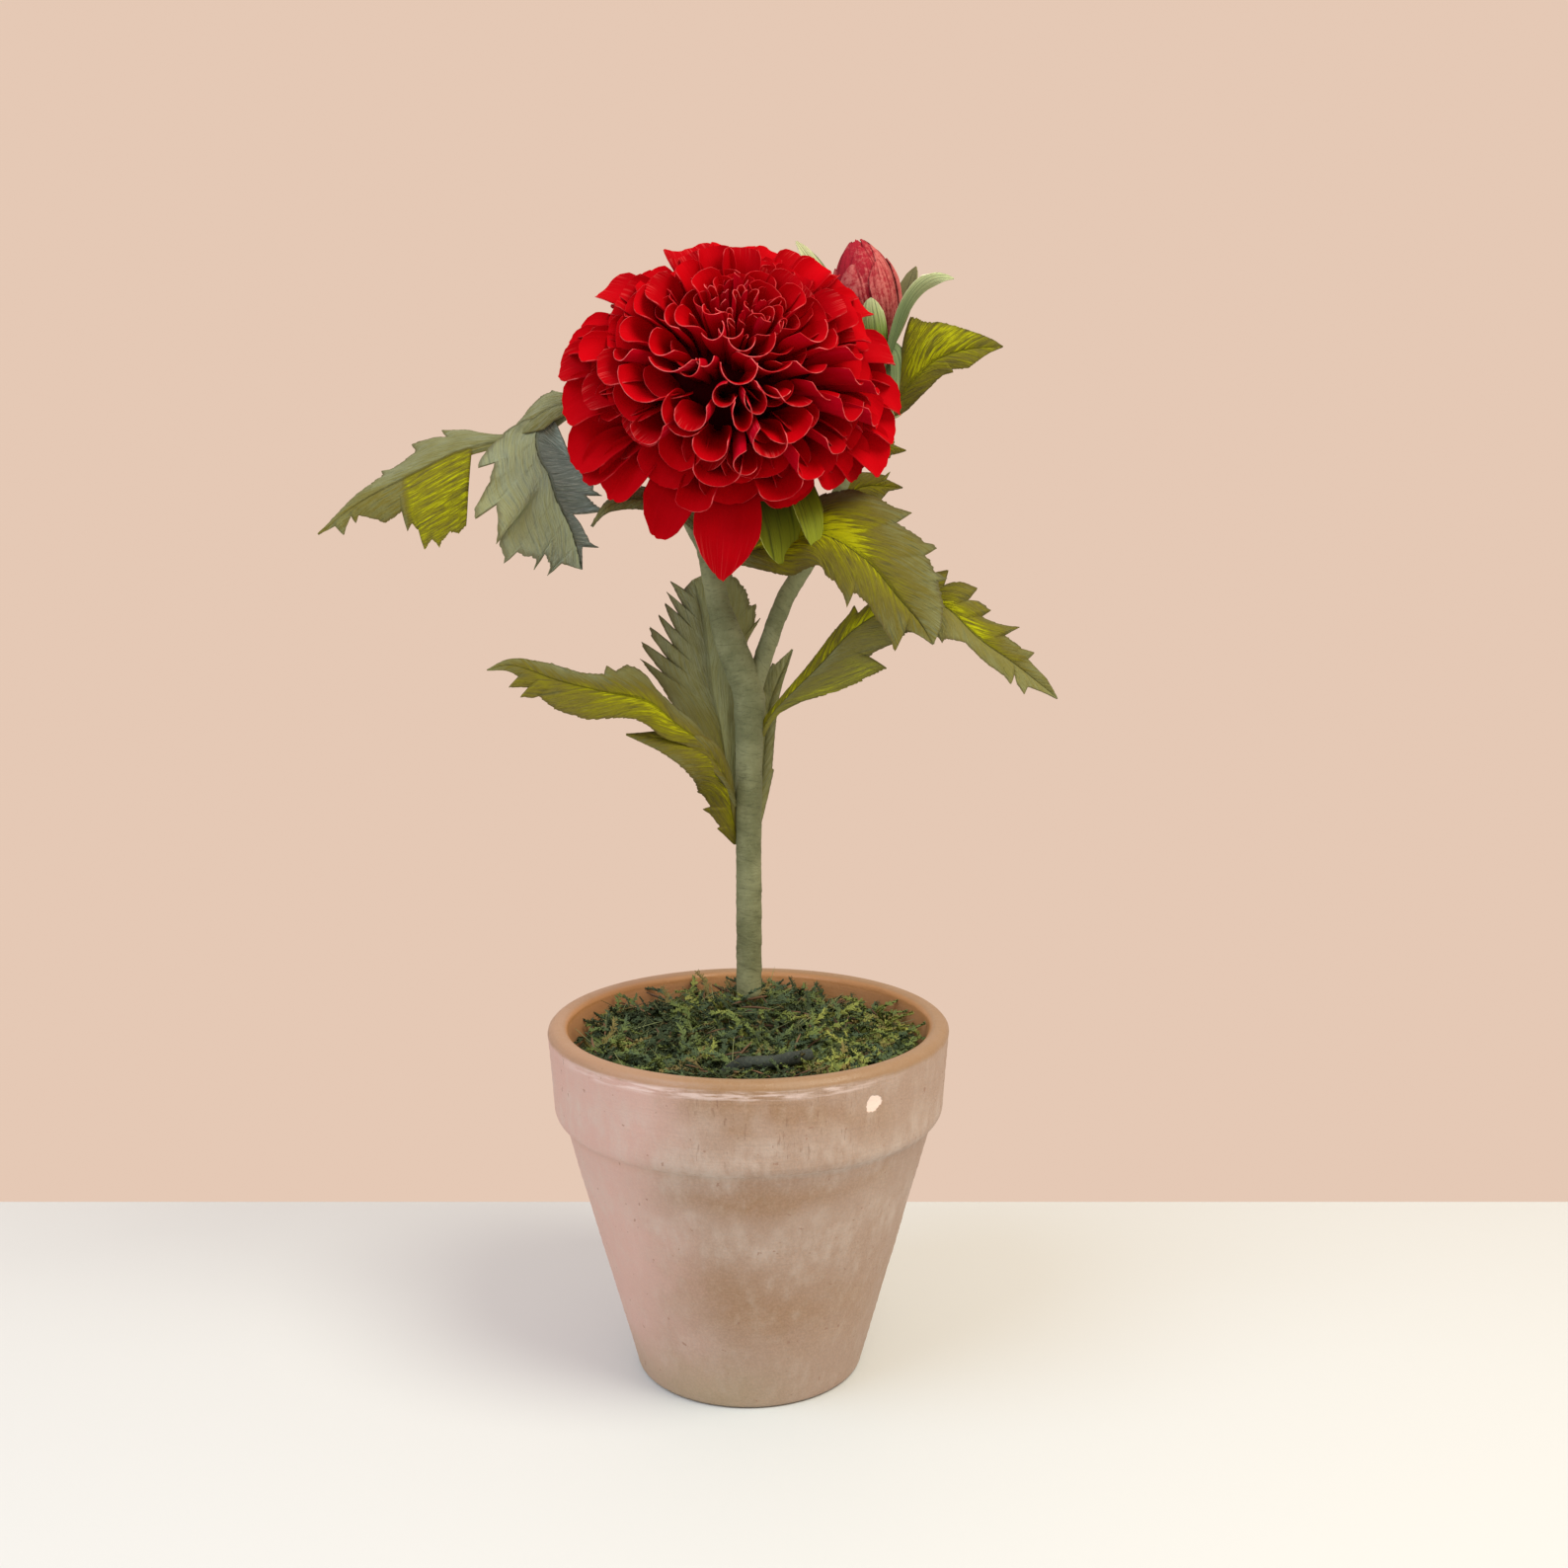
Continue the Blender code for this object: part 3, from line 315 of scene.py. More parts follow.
def evenPath(points, pieces):
    fine = 24 * (len(points) - 1)
    dense = [smoothPoint(points, step / fine) for step in range(fine + 1)]
    lengths = [0.0]
    for before, after in zip(dense, dense[1:]):
        lengths.append(lengths[-1] + (after - before).length)
    path = []
    index = 0
    for piece in range(pieces + 1):
        wanted = lengths[-1] * piece / pieces
        while index < fine - 1 and lengths[index + 1] < wanted:
            index += 1
        stretch = lengths[index + 1] - lengths[index]
        path.append(dense[index].lerp(dense[index + 1], (wanted - lengths[index]) / stretch))
    return path


def onPath(path, share):
    position = min(max(share, 0.0), 1.0) * (len(path) - 1)
    index = min(int(position), len(path) - 2)
    return path[index].lerp(path[index + 1], position - index)


def heading(path, share, reach=0.02):
    return (onPath(path, share + reach) - onPath(path, share - reach)).normalized()


def between(pairs, place):
    # the value at a place in a table of (place, value), straight between its rows
    for (low, first), (high, second) in zip(pairs, pairs[1:]):
        if place <= high:
            return first + (second - first) * (place - low) / max(high - low, 1e-9)
    return pairs[-1][1]


# camera, lights and floor

camera = {"place": (9.7, -473, 241), "down": 9.23, "focalPixels": 1800, "picture": 1588,
          "sensor": 36.0}
studio = {
    "world": ("f3d5c0", 0.875),
    "floor": "d8e2e6",
    "floorBack": 110, "floorFront": -900, "floorHalf": 1400,
    # each light: place, what it points at, size, watts, colour
    "lights": [((420, -380, 900), (0, 0, 170), 520, 6.6, "fff8e4"),
               ((-520, -420, 800), (0, 0, 150), 700, 4.0, "cfe6ff")],
}


def setStage():
    data = bpy.data.cameras.new("camera")
    data.sensor_width = camera["sensor"]
    data.lens = camera["focalPixels"] * camera["sensor"] / camera["picture"]
    data.clip_start = 0.01
    thing = bpy.data.objects.new("camera", data)
    thing.location = Vector(camera["place"]) * mm
    thing.rotation_euler = (math.radians(90 - camera["down"]), 0, 0)
    bpy.context.scene.collection.objects.link(thing)
    bpy.context.scene.camera = thing

    for index, (at, target, size, watts, colour) in enumerate(studio["lights"]):
        light = bpy.data.lights.new(f"softbox{index}", "AREA")
        light.shape = "DISK"
        light.size = size * mm
        light.energy = watts
        light.color = tint(colour)
        lamp = bpy.data.objects.new(f"softbox{index}", light)
        lamp.location = Vector(at) * mm
        away = lamp.location - Vector(target) * mm
        lamp.rotation_euler = away.to_track_quat("Z", "Y").to_euler()
        bpy.context.scene.collection.objects.link(lamp)

    world = bpy.data.worlds.new("studio")
    world.use_nodes = True
    background = world.node_tree.nodes["Background"]
    colour, strength = studio["world"]
    background.inputs["Color"].default_value = (*tint(colour), 1)
    background.inputs["Strength"].default_value = strength
    bpy.context.scene.world = world
    bpy.context.scene.view_settings.view_transform = "Standard"

    half, front, back = studio["floorHalf"], studio["floorFront"], studio["floorBack"]
    corners = [(-half, front, 0), (half, front, 0), (half, back, 0), (-half, back, 0)]
    pale = finish("paleFloor", lambda _: {"Base Color": tint(studio["floor"])}, Roughness=0.6)
    floor = makeThing("floor", corners, [(0, 1, 2, 3)], [pale])


setStage()
print("stage set")


# the pot

pot = {
    "height": 98.7, "rimRadius": 55.0, "rimFootRadius": 53.5, "rimBand": 25.0,
    "lipRounding": 2.4, "rimWall": 5.6, "bodyTopRadius": 50.0, "footRadius": 31.6,
    "footRounding": 2.0, "wall": 5.0, "floor": 6.0, "stepIn": 2.5, "stepUp": 3.0,
    "drainRadius": 6.0, "segments": 192, "row": 1.6,
    # throwing rings, and swells of the clay as depth and size
    "ringDepth": 0.05, "ringTurns": 1.9, "swells": [(0.16, 14), (0.05, 2.6)],
    "chip": (32.2, -43.6, 90.2), "chipSize": 2.0, "chipReach": 3.2, "chipDepth": 0.35,
    "clay": "a48e7e", "pinkClay": "c6a59c", "orangeClay": "90704e", "bloomDust": "c6bdb4",
    "greenDust": "9c9272", "scratch": "70503c", "chipPlaster": "f2e0d6", "speck": "856250",
    # the chalk colour is partly chalk and partly a painted highlight along the lip's front edge
    "grit": "dcb9a4", "insideClay": "b88450", "lipClay": "917148", "chalk": "ecdcd8",
    # height, spread and strength: pale bands, then bare orange ones; the one at 68.5, just under
    # the rim, is also painted shade from the rim's overhang
    "paleBands": [(79.5, 5.5, 0.75), (54.5, 6.5, 0.6)],
    "bareAndShadowBands": [(90, 4.5, 0.95), (68.5, 5, 0.9), (34, 11, 0.9)],
}
filling = {"dark": "c9c3b6", "light": "e6e1d6"}


def innerRadius(height):
    slope = (pot["bodyTopRadius"] - pot["footRadius"]) / (pot["height"] - pot["rimBand"])
    return pot["footRadius"] - pot["wall"] + slope * height


def bandInnerRadius(height):
    low = pot["height"] - pot["rimBand"] + pot["stepUp"]
    foot = innerRadius(pot["height"] - pot["rimBand"]) + pot["stepIn"]
    share = (height - low) / (pot["height"] - pot["lipRounding"] - low)
    return foot + (pot["rimRadius"] - pot["rimWall"] - foot) * share


def arc(radiusAt, heightAt, radius, start, end, steps):
    angles = [math.radians(start + (end - start) * step / steps) for step in range(steps + 1)]
    return [(radiusAt + radius * math.cos(angle), heightAt + radius * math.sin(angle))
            for angle in angles]


def evenProfile(profile, step):
    # the same outline with points no further apart than the step
    fine = []
    for (r0, z0), (r1, z1) in zip(profile, profile[1:]):
        pieces = max(1, round(math.hypot(r1 - r0, z1 - z0) / step))
        fine += [(r0 + (r1 - r0) * k / pieces, z0 + (z1 - z0) * k / pieces)
                 for k in range(pieces)]
    return fine + [profile[-1]]


def terracotta():
    def build(graph):
        at = graph.millimetres()
        x, y, z = graph.split(at)
        broad = graph.noise(at, 0.028, 3.0, 0.55)
        mottle = graph.noise(at, 0.13, 5.0, 0.62)
        smears = graph.noise(at * (1.0, 1.0, 0.42), 0.30, 6.0, 0.68)
        grain = graph.noise(at, 1.6, 3.0, 0.6)
        wavy = z + (broad - 0.5) * 34 + (smears - 0.5) * 9 + x * 0.07

        def bands(name):
            total = 0.0
            for height, spread, strength in pot[name]:
                apart = (wavy - height) / spread
                total = (apart * apart * -1.0).calc("EXPONENT") * strength + total
            return total

        pinker = graph.ramp(x + (broad - 0.5) * 40, -34, -6)
        centre = graph.ramp(x.size() * -1 + x * 0.3 + (mottle - 0.5) * 44, -34, -4)
        # bare orange clay, and just under the rim also painted shade
        bareAndShadow = bands("bareAndShadowBands") * centre * graph.ramp(smears, 0.25, 0.6, 0.55, 1.0)
        dust = bands("paleBands") * graph.ramp(smears * 0.6 + mottle * 0.4, 0.30, 0.66)
        haze = graph.ramp(mottle * 0.5 + smears * 0.5, 0.42, 0.72)
        low = graph.ramp(z + (mottle - 0.5) * 14, 22, 2) * graph.ramp(x, 26, -14)
        scratches = graph.noise(at * (1.0, 1.0, 0.14), 1.3, 2.0, 0.5)
        scratched = graph.ramp(scratches, 0.63, 0.70) * graph.ramp(z, 72, 80) * centre
        specks = graph.ramp(graph.noise(at, 0.55, 2.0, 0.4), 0.71, 0.75)
        # the lip is bare and polished, with pale marks along its front edge that are partly chalk
        # and partly a painted highlight
        lip = graph.ramp(z + (mottle - 0.5) * 2, 95.6, 97.2)
        edge = graph.ramp(z, 93.4, 94.9) * graph.ramp(z, 97.0, 95.9) * graph.ramp(y, -20, -44)
        streaks = graph.noise(at * (0.25, 0.25, 2.4), 0.5, 5.0, 0.6)
        chalk = edge * graph.ramp(streaks, 0.40, 0.62) * graph.ramp(x, 44, 18)
        inside = graph.ramp(x * x + y * y, 50.9 ** 2, 49.6 ** 2) * graph.ramp(z, 70, 74)
        # the chip is ragged, and narrower at its upper end
        fromChip = ((at - pot["chip"]) * (0.72, 0.72, 0.66)).calc("LENGTH", out=1)
        fromChip = fromChip + (graph.noise(at, 0.7, 2.0) - 0.5) * 1.6
        fromChip = fromChip + graph.ramp(z, 89.8, 93.2) * 1.1
        chipped = graph.ramp(fromChip, pot["chipSize"], pot["chipSize"] - 0.35)
        colour = graph.paint(
            tint(pot["pinkClay"]), (pinker, pot["clay"]), (bareAndShadow, pot["orangeClay"]),
            (dust * 0.62, pot["bloomDust"]), (haze * 0.4, pot["bloomDust"]),
            (low * 0.6, pot["greenDust"]), (scratched * 0.45, pot["scratch"]),
            (specks * 0.6, pot["speck"]), (graph.ramp(grain, 0.3, 0.8) * 0.2, pot["grit"]),
            (lip * 0.7, pot["lipClay"]), (chalk * 0.6, pot["chalk"]),
            (inside * 0.85, pot["insideClay"]), (chipped, pot["chipPlaster"]))
        height = grain * 0.5 + mottle * 0.8 + smears * 0.7
        height = height + graph.noise(at * (0.02, 0.02, 1.0), 1.3, 3.0) * 0.5
        rough = graph.ramp(mottle, 0.35, 0.7, 0.55, 0.8) - lip * 0.25
        return {"Base Color": colour, "Roughness": rough,
                "Height": (height - chipped * 0.8, 0.0002)}
    return finish("terracottaClay", build, Specular_IOR_Level=0.4)


def makePot():
    bandFoot = pot["height"] - pot["rimBand"]
    step = pot["rimFootRadius"] - pot["bodyTopRadius"]
    lipIn = pot["rimRadius"] - pot["rimWall"]
    rounding, footRounding, up = pot["lipRounding"], pot["footRounding"], pot["stepUp"]
    profile = [(pot["drainRadius"], 0)]
    profile += arc(pot["footRadius"] - footRounding, footRounding, footRounding, -90, -10, 8)
    profile += arc(pot["bodyTopRadius"], bandFoot + step * 0.7, step, -75, 0, 8)
    profile += arc(pot["rimRadius"] - rounding, pot["height"] - rounding, rounding, 5, 85, 10)
    profile += arc(lipIn + rounding, pot["height"] - rounding, rounding, 95, 175, 10)
    profile += [(bandInnerRadius(bandFoot + up), bandFoot + up),
                (innerRadius(bandFoot - up), bandFoot - up),
                (innerRadius(pot["floor"] + footRounding), pot["floor"] + footRounding),
                (innerRadius(pot["floor"]) - footRounding, pot["floor"]),
                (pot["drainRadius"], pot["floor"])]
    profile = evenProfile(profile, pot["row"])
    chip = Vector(pot["chip"])
    points = []
    for radius, height in profile:
        for cosine, sine in circle(pot["segments"]):
            point = Vector((radius * cosine, radius * sine, height))
            ring = pot["ringDepth"] * math.sin(height * pot["ringTurns"])
            for depth, size in pot["swells"]:
                ring += depth * noise.noise(point / size)
            # the foot and the lip stay true
            if 2 < height < pot["height"] - 1:
                point.x += ring * cosine
                point.y += ring * sine
            near = (point - chip).length
            if near < pot["chipReach"] and radius > lipIn + rounding:
                point -= Vector((cosine, sine, 0)) * pot["chipDepth"] * (
                    1 - near / pot["chipReach"])
            points.append(point)
    thing = makeThing("potClay", points, ringFaces(len(profile), pot["segments"], closed=True),
                      [terracotta()])
    place(thing, "terracotta", "pot")


def plasterFinish():
    def build(graph):
        grain = graph.noise(graph.millimetres(), 0.7, 4.0, 0.6)
        colour = graph.blend(grain, tint(filling["dark"]), tint(filling["light"]))
        return {"Base Color": colour, "Height": (grain, 0.0003)}
    return finish("setPlaster", build, Roughness=0.85)


makePot()
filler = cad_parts["plaster_filler"]
plaster = plasterFinish()
for materialSlot in filler.material_slots:
    materialSlot.material = plaster
print("pot made")


# the moss

moss = {
    "top": 91.5, "rise": 9.0, "riseReach": 9.0, "edgeDrop": 3.0, "low": 80.3,
    "stem": (0.0, 6.0), "hole": 3.9, "rings": 46, "segments": 120, "tuft": 3.2,
    "farReach": 47.3, "nearReach": 43.5,
    # how many there are on a square metre
    "sprigs": 175000.0, "shoots": 125000.0, "strands": 60000.0, "twigs": 12000.0, "seed": 4,
    "dark": "36422c", "blue": "4c5e46", "green": "6a7a42", "lime": "98a052", "brown": "6e5a40",
    "threadDyes": ("33401f", "8d9a68"), "barkDyes": ("3a2a1c", "7d6046"),
    "scrapDyes": ("262e2a", "101412", "3e4842"), "gap": 0.3,
    "scrapRadii": [1.1, 1.6, 1.6, 1.6, 1.4],
    "scrap": [(-6, -33, 94), (-1, -34.5, 97), (6, -35, 97.6), (12, -34, 98.2), (16.5, -32, 98.8)],
}


def mossHeight(x, y):
    fromStem = math.hypot(x - moss["stem"][0], y - moss["stem"][1])
    rise = moss["rise"] * math.exp(-(fromStem / moss["riseReach"]) ** 2)
    swell = 1.2 * math.sin(x / 9 + 1) + 1.0 * math.cos(y / 8 - x / 15)
    rough = (noise.noise((x / 5, y / 5, 3.1)) * 0.6 + noise.noise((x / 2, y / 2, 7.7)) * 0.45)
    return moss["top"] + rise + swell + (0.2 + rough) * moss["tuft"]


def mossFinish(name, withTone):
    def build(graph):
        at = graph.millimetres()
        patch = graph.noise(at, 0.055, 3.0, 0.6)
        x, _, _ = graph.split(at)
        tone = graph.attribute("tone") if withTone else graph.noise(at, 0.9, 3.0, 0.6)
        shade = patch + (tone - 0.5) * 0.45 + graph.ramp(x, 4, 34, 0.0, 0.10)
        return {"Base Color": graph.paint(
            tint(moss["dark"]), (graph.ramp(shade, 0.30, 0.50), moss["blue"]),
            (graph.ramp(shade, 0.46, 0.62), moss["green"]),
            (graph.ramp(shade, 0.62, 0.84), moss["lime"]),
            (graph.ramp(tone, 0.86, 0.90) * 0.7, moss["brown"]))}
    return finish(name, build, Roughness=0.9, Specular_IOR_Level=0.2)


def strandFinish(name, dyes, roughness):
    def build(graph):
        dark, light = dyes
        return {"Base Color": graph.blend(graph.attribute("tone"), tint(dark), tint(light))}
    return finish(name, build, Roughness=roughness)


def makeMossBed():
    points = []
    rings, ring = moss["rings"], circle(moss["segments"])
    edgeHeight = moss["top"] - moss["edgeDrop"]
    wall = bandInnerRadius(edgeHeight) - moss["gap"]
    stemX, stemY = moss["stem"]
    for step in range(rings + 1):
        share = step / rings
        reach = moss["hole"] + (wall - moss["hole"]) * share
        # the last ninth comes down to the edge
        inward = min((1 - share) * 9, 1)
        for cosine, sine in ring:
            x = reach * cosine + stemX * (1 - share)
            y = reach * sine + stemY * (1 - share)
            points.append((x, y, edgeHeight + (mossHeight(x, y) - edgeHeight) * inward))
    for radius, x0, y0 in ((bandInnerRadius(moss["low"]) - moss["gap"], 0, 0),
                           (moss["hole"], stemX, stemY)):
        points += [(radius * cosine + x0, radius * sine + y0, moss["low"])
                   for cosine, sine in ring]
    faces = ringFaces(rings + 3, moss["segments"], closed=True, inward=True)
    return makeThing("mossBed", points, faces, [mossFinish("mossBedding", False)])


def sprigShape(name, pairs, length, reach, rng):
    # a bent stalk with leaflets in pairs, like chenille
    def stalk(share):
        return Vector((0.12 * length * math.sin(share * 3.4), length * share,
                       0.11 * length * math.sin(share * 2.6)))

    points, faces = [], []
    for index in range(pairs):
        share = (index + 0.5) / pairs
        middle = stalk(share)
        for side in (-1, 1):
            out = Vector((side * rng.uniform(0.5, 1), rng.uniform(0.3, 0.9),
                          rng.uniform(-0.3, 1.0))).normalized()
            size = reach * (1 - 0.45 * share) * rng.uniform(0.7, 1.2)
            bend = middle + out * size * 0.55 + Vector((0, 0, 0.25 * size))
            tip = middle + out * size + Vector((0, rng.uniform(0, 0.4), -0.1 * size))
            start = len(points)
            points += [middle - Vector((0, 0.26, 0)), middle + Vector((0, 0.26, 0)),
                       bend + Vector((0, 0.28, 0)), bend - Vector((0, 0.28, 0)), tip]
            faces += [(start, start + 1, start + 2, start + 3), (start + 3, start + 2, start + 4)]
    start, steps = len(points), 4
    for index in range(steps + 1):
        middle = stalk(index / steps)
        points += [middle + Vector((0.3, 0, 0)), middle + Vector((-0.3, 0, 0)),
                   middle + Vector((0, 0, 0.35))]
    return makeThing(name, points, faces + ringFaces(steps + 1, 3, start))


def threadShape(name, length, radius, bend, rng, sides=3, steps=9):
    points = []
    phase = rng.uniform(0, 6)
    for index in range(steps + 1):
        share = index / steps
        middle = Vector((bend * math.sin(share * 2.2 + phase) - bend * math.sin(phase),
                         length * (share - 0.5),
                         bend * 0.5 * math.sin(share * 3.1 + phase * 2)))
        girth = radius * (1 - 0.6 * abs(2 * share - 1) ** 3)
        points += [middle + Vector((girth * cosine, 0, girth * sine))
                   for cosine, sine in circle(sides)]
    faces = ringFaces(steps + 1, sides, inward=True)
    faces += [tuple(range(sides)), tuple(reversed(range(steps * sides, len(points))))]
    return makeThing(name, points, faces)


def scatterTree(name):
    graph, given, end = newTree(name, [
        ("Ground", "Geometry"), ("Shape", "Object"), ("Density", "Float"), ("Seed", "Int"),
        ("Tilt", "Float"), ("Smallest", "Float"), ("Largest", "Float"), ("Lift", "Float"),
        ("Reach", "Float"), ("Material", "Material")])
    normal = graph.add("GeometryNodeInputNormal")
    _, _, upward = graph.split(normal)
    at = graph.add("GeometryNodeInputPosition")
    x, y, _ = graph.split(at)
    inside = (x * x + y * y).calc("LESS_THAN", given["Reach"] * given["Reach"])
    # nothing grows on the sides or the underside
    chosen = upward.calc("GREATER_THAN", 0.25) * inside
    points = graph.add("GeometryNodeDistributePointsOnFaces",
                       {"Mesh": given["Ground"], "Selection": chosen,
                        "Density": given["Density"], "Seed": given["Seed"]})
    lean = graph.rand(-1.0, 1.0, given["Seed"] + 1)
    roll = graph.rand(-1.0, 1.0, given["Seed"] + 2)
    turn = graph.rand(0.0, 6.2832, given["Seed"] + 3)
    tilt = graph.join(lean * given["Tilt"] + 0.15, roll * given["Tilt"], turn)
    size = graph.rand(given["Smallest"], given["Largest"], given["Seed"] + 4)
    shape = graph.add("GeometryNodeObjectInfo", {"Object": given["Shape"]}, out=4)
    grown = graph.add("GeometryNodeInstanceOnPoints", {
        "Points": points, "Instance": shape, "Rotation": tilt, "Scale": size})
    grown = graph.store(grown, "tone", graph.rand(0.0, 1.0, given["Seed"] + 5),
                        domain="INSTANCE")
    grown = graph.add("GeometryNodeRealizeInstances", {0: grown})
    up = graph.join(0.0, 0.0, given["Lift"])
    grown = graph.add("GeometryNodeSetPosition", {"Geometry": grown, "Offset": up})
    return graph.close(grown, given["Material"], end)


def makeMoss():
    rng = random.Random(moss["seed"])
    bed = makeMossBed()
    leafy = mossFinish("mossSprigs", True)
    threads = strandFinish("mossThreads", moss["threadDyes"], 0.85)
    bark = strandFinish("mossTwigs", moss["barkDyes"], 0.9)
    tree = scatterTree("scatterOnGround")
    far, near = moss["farReach"] * mm, moss["nearReach"] * mm
    # shape, density, tilt, smallest, largest, lift, reach from the middle, material
    kinds = [
        ("mossSprigs", sprigShape("sprig", 15, 8.5, 1.5, rng), moss["sprigs"], 0.5, 0.6, 1.3,
         0.0006, near, leafy),
        ("mossShoots", sprigShape("shoot", 9, 5.0, 1.2, rng), moss["shoots"], 1.0, 0.6, 1.15,
         0.0006, far, leafy),
        ("mossThreads", threadShape("thread", 17, 0.14, 3.4, rng), moss["strands"], 0.35, 0.4,
         1.1, 0.0026, near, threads),
        ("mossTwigs", threadShape("twig", 9, 0.34, 0.5, rng, 4, 4), moss["twigs"], 0.7, 0.5,
         1.2, 0.0024, near, bark),
    ]
    for index, kind in enumerate(kinds):
        name, shape, density, tilt, small, large, lift, reach, material = kind
        thing = bpy.data.objects.new(name, bed.data)
        bpy.context.scene.collection.objects.link(thing)
        growWith(thing, tree, {"Shape": shape, "Density": density, "Seed": 20 + index * 10,
                               "Tilt": tilt, "Smallest": small, "Largest": large,
                               "Lift": lift, "Reach": reach, "Material": material})
        bpy.data.objects.remove(shape)
        place(thing, "moss")
    place(bed, "moss", "moss")


makeMoss()
print("moss made")


# the wrapped stem

stem = {
    "route": [(0.3, 6, 82), (0.3, 6, 90), (0, 6, 102), (0, 7, 148), (0, 8, 184), (-2, 8, 194),
              (-5, 8, 202), (-8, 8, 212), (-10, 8.5, 222), (-12, 11, 232), (-12.5, 14, 240.5),
              (-10.5, 13, 248.5), (-7.3, 8.4, 255.6)],
    "radii": [3.5, 3.5, 3.4, 3.4, 3.8, 4.2, 4.0, 3.0, 2.8, 2.8, 2.9, 3.0, 3.1],
    "branch": [(0, 8, 181), (2, 9, 191), (5, 11, 200), (10, 14, 213), (16, 17.5, 223),
               (25, 24, 241), (33, 29, 260), (37, 31, 273)],
    "branchRadii": [2.0, 2.4, 2.4, 2.4, 2.3, 2.2, 2.1, 2.2],
    "forkWrap": [(0, 8, 176), (0.2, 8.1, 182), (0.3, 8.3, 187), (0.6, 8.5, 193.5)],
    "forkRadii": [3.2, 4.1, 4.3, 2.2],
    "step": 0.5, "sides": 36, "tape": 7.5, "edge": 0.2, "wrinkle": 0.35,
    "sage": "6a7150", "dark": "454b36", "pale": "848b68", "fibre": "a5aa88",
}


def wrapTree():
    # a tube along the route: slanted tape edges and fine wrinkles across it
    graph, given, end = newTree("wrapStem", [
        ("Route", "Geometry"), ("Step", "Float"), ("Sides", "Int"), ("Tape", "Float"),
        ("Edge", "Float"), ("Wrinkle", "Float"), ("Material", "Material")])
    curve = graph.add("GeometryNodeMeshToCurve", {0: given["Route"]})
    curve = graph.add("GeometryNodeResampleCurve", {"Curve": curve, "Length": given["Step"]},
                      mode="LENGTH")
    length = graph.add("GeometryNodeSplineParameter", out=1)
    curve = graph.store(curve, "reach", length * (1 / mm))
    ring = graph.add("GeometryNodeCurvePrimitiveCircle",
                     {"Resolution": given["Sides"], "Radius": 1.0})
    around = graph.add("GeometryNodeInputPosition")
    ring = graph.store(ring, "around", around, "FLOAT_VECTOR")
    tube = graph.add("GeometryNodeCurveToMesh",
                     {"Curve": curve, "Profile Curve": ring, "Scale": graph.named("radius"),
                      "Fill Caps": True})
    reach = graph.named("reach")
    side, front, _ = graph.split(graph.named("around", "FLOAT_VECTOR"))
    turn = front.calc("ARCTAN2", side) / (2 * math.pi)
    phase = (reach / given["Tape"] + turn).calc("FRACT")
    lap = graph.ramp(phase, 0.0, 0.06, 0.0, 1.0) * (1.0 - phase * 0.8)
    across = graph.noise(graph.join(side * 0.8, front * 0.8, reach * 0.9), 1.0, 3.0, 0.6)
    lumps = graph.noise(graph.add("GeometryNodeInputPosition"), 160.0, 2.0)
    proud = lap * given["Edge"] + (across - 0.5) * given["Wrinkle"] + (lumps - 0.5) * 0.5
    normal = graph.add("GeometryNodeInputNormal")
    tube = graph.add("GeometryNodeSetPosition", {"Geometry": tube, "Offset": normal * proud * mm})
    tube = graph.add("GeometryNodeSetShadeSmooth", {0: tube})
    tube = graph.add("GeometryNodeRealizeInstances", {0: tube})
    return graph.close(tube, given["Material"], end)


def stemFinish(name, sage, dark, pale):
    def build(graph):
        reach = graph.attribute("reach")
        side, front, _ = graph.split(graph.add("ShaderNodeAttribute", out=1,
                                               attribute_name="around"))
        turn = front.calc("ARCTAN2", side) / (2 * math.pi)
        at = graph.millimetres()
        across = graph.noise(graph.join(side * 1.3, front * 1.3, reach * 1.5), 1.0, 5.0, 0.7)
        fine = graph.noise(at, 1.8, 4.0, 0.7)
        patches = graph.noise(at, 0.10, 4.0, 0.6)
        edge = (reach / stem["tape"] + turn + (patches - 0.5) * 0.5).calc("FRACT")
        colour = graph.paint(
            tint(sage), (graph.ramp(patches, 0.35, 0.65), pale),
            (graph.ramp(across, 0.50, 0.30) * 0.5, dark),
            (graph.ramp(fine, 0.52, 0.75) * 0.2, stem["fibre"]),
            (graph.ramp(edge, 0.045, 0.0) * 0.35, dark))
        return {"Base Color": colour, "Height": (across * 0.7 + fine * 0.3, 0.0003)}
    return finish(name, build, Roughness=0.8, Specular_IOR_Level=0.3)


def wrapRoutes(name, tree, routes, material):
    # one piece from several routes with a radius at each point
    points, edges, radii = [], [], []
    for route, sizes in routes:
        pieces = 6 * (len(route) - 1)
        start = len(points)
        for piece in range(pieces + 1):
            share = piece / pieces
            points.append(smoothPoint(route, share))
            position = share * (len(sizes) - 1)
            low = min(int(position), len(sizes) - 2)
            radii.append((sizes[low] + (sizes[low + 1] - sizes[low]) * (position - low)) * mm)
        edges += [(start + piece, start + piece + 1) for piece in range(pieces)]
    thing = makeThing(name, points, [], edges=edges, values={"radius": radii})
    return growWith(thing, tree, {
        "Step": stem["step"] * mm, "Sides": stem["sides"], "Tape": stem["tape"],
        "Edge": stem["edge"], "Wrinkle": stem["wrinkle"], "Material": material})


stemPaper = stemFinish("wrappedStem", stem["sage"], stem["dark"], stem["pale"])
wrap = wrapTree()
stalk = wrapRoutes("wrappedStem", wrap, [(stem["route"], stem["radii"]),
                                         (stem["branch"], stem["branchRadii"]),
                                         (stem["forkWrap"], stem["forkRadii"])], stemPaper)
place(stalk, "stem_paper", "stem")
scrap = wrapRoutes("mossScrap", wrap, [(moss["scrap"], moss["scrapRadii"])],
                   stemFinish("mossScrap", *moss["scrapDyes"]))
place(scrap, "moss")
print("stem made")


# petals: one tree makes every curled petal, bract and sepal

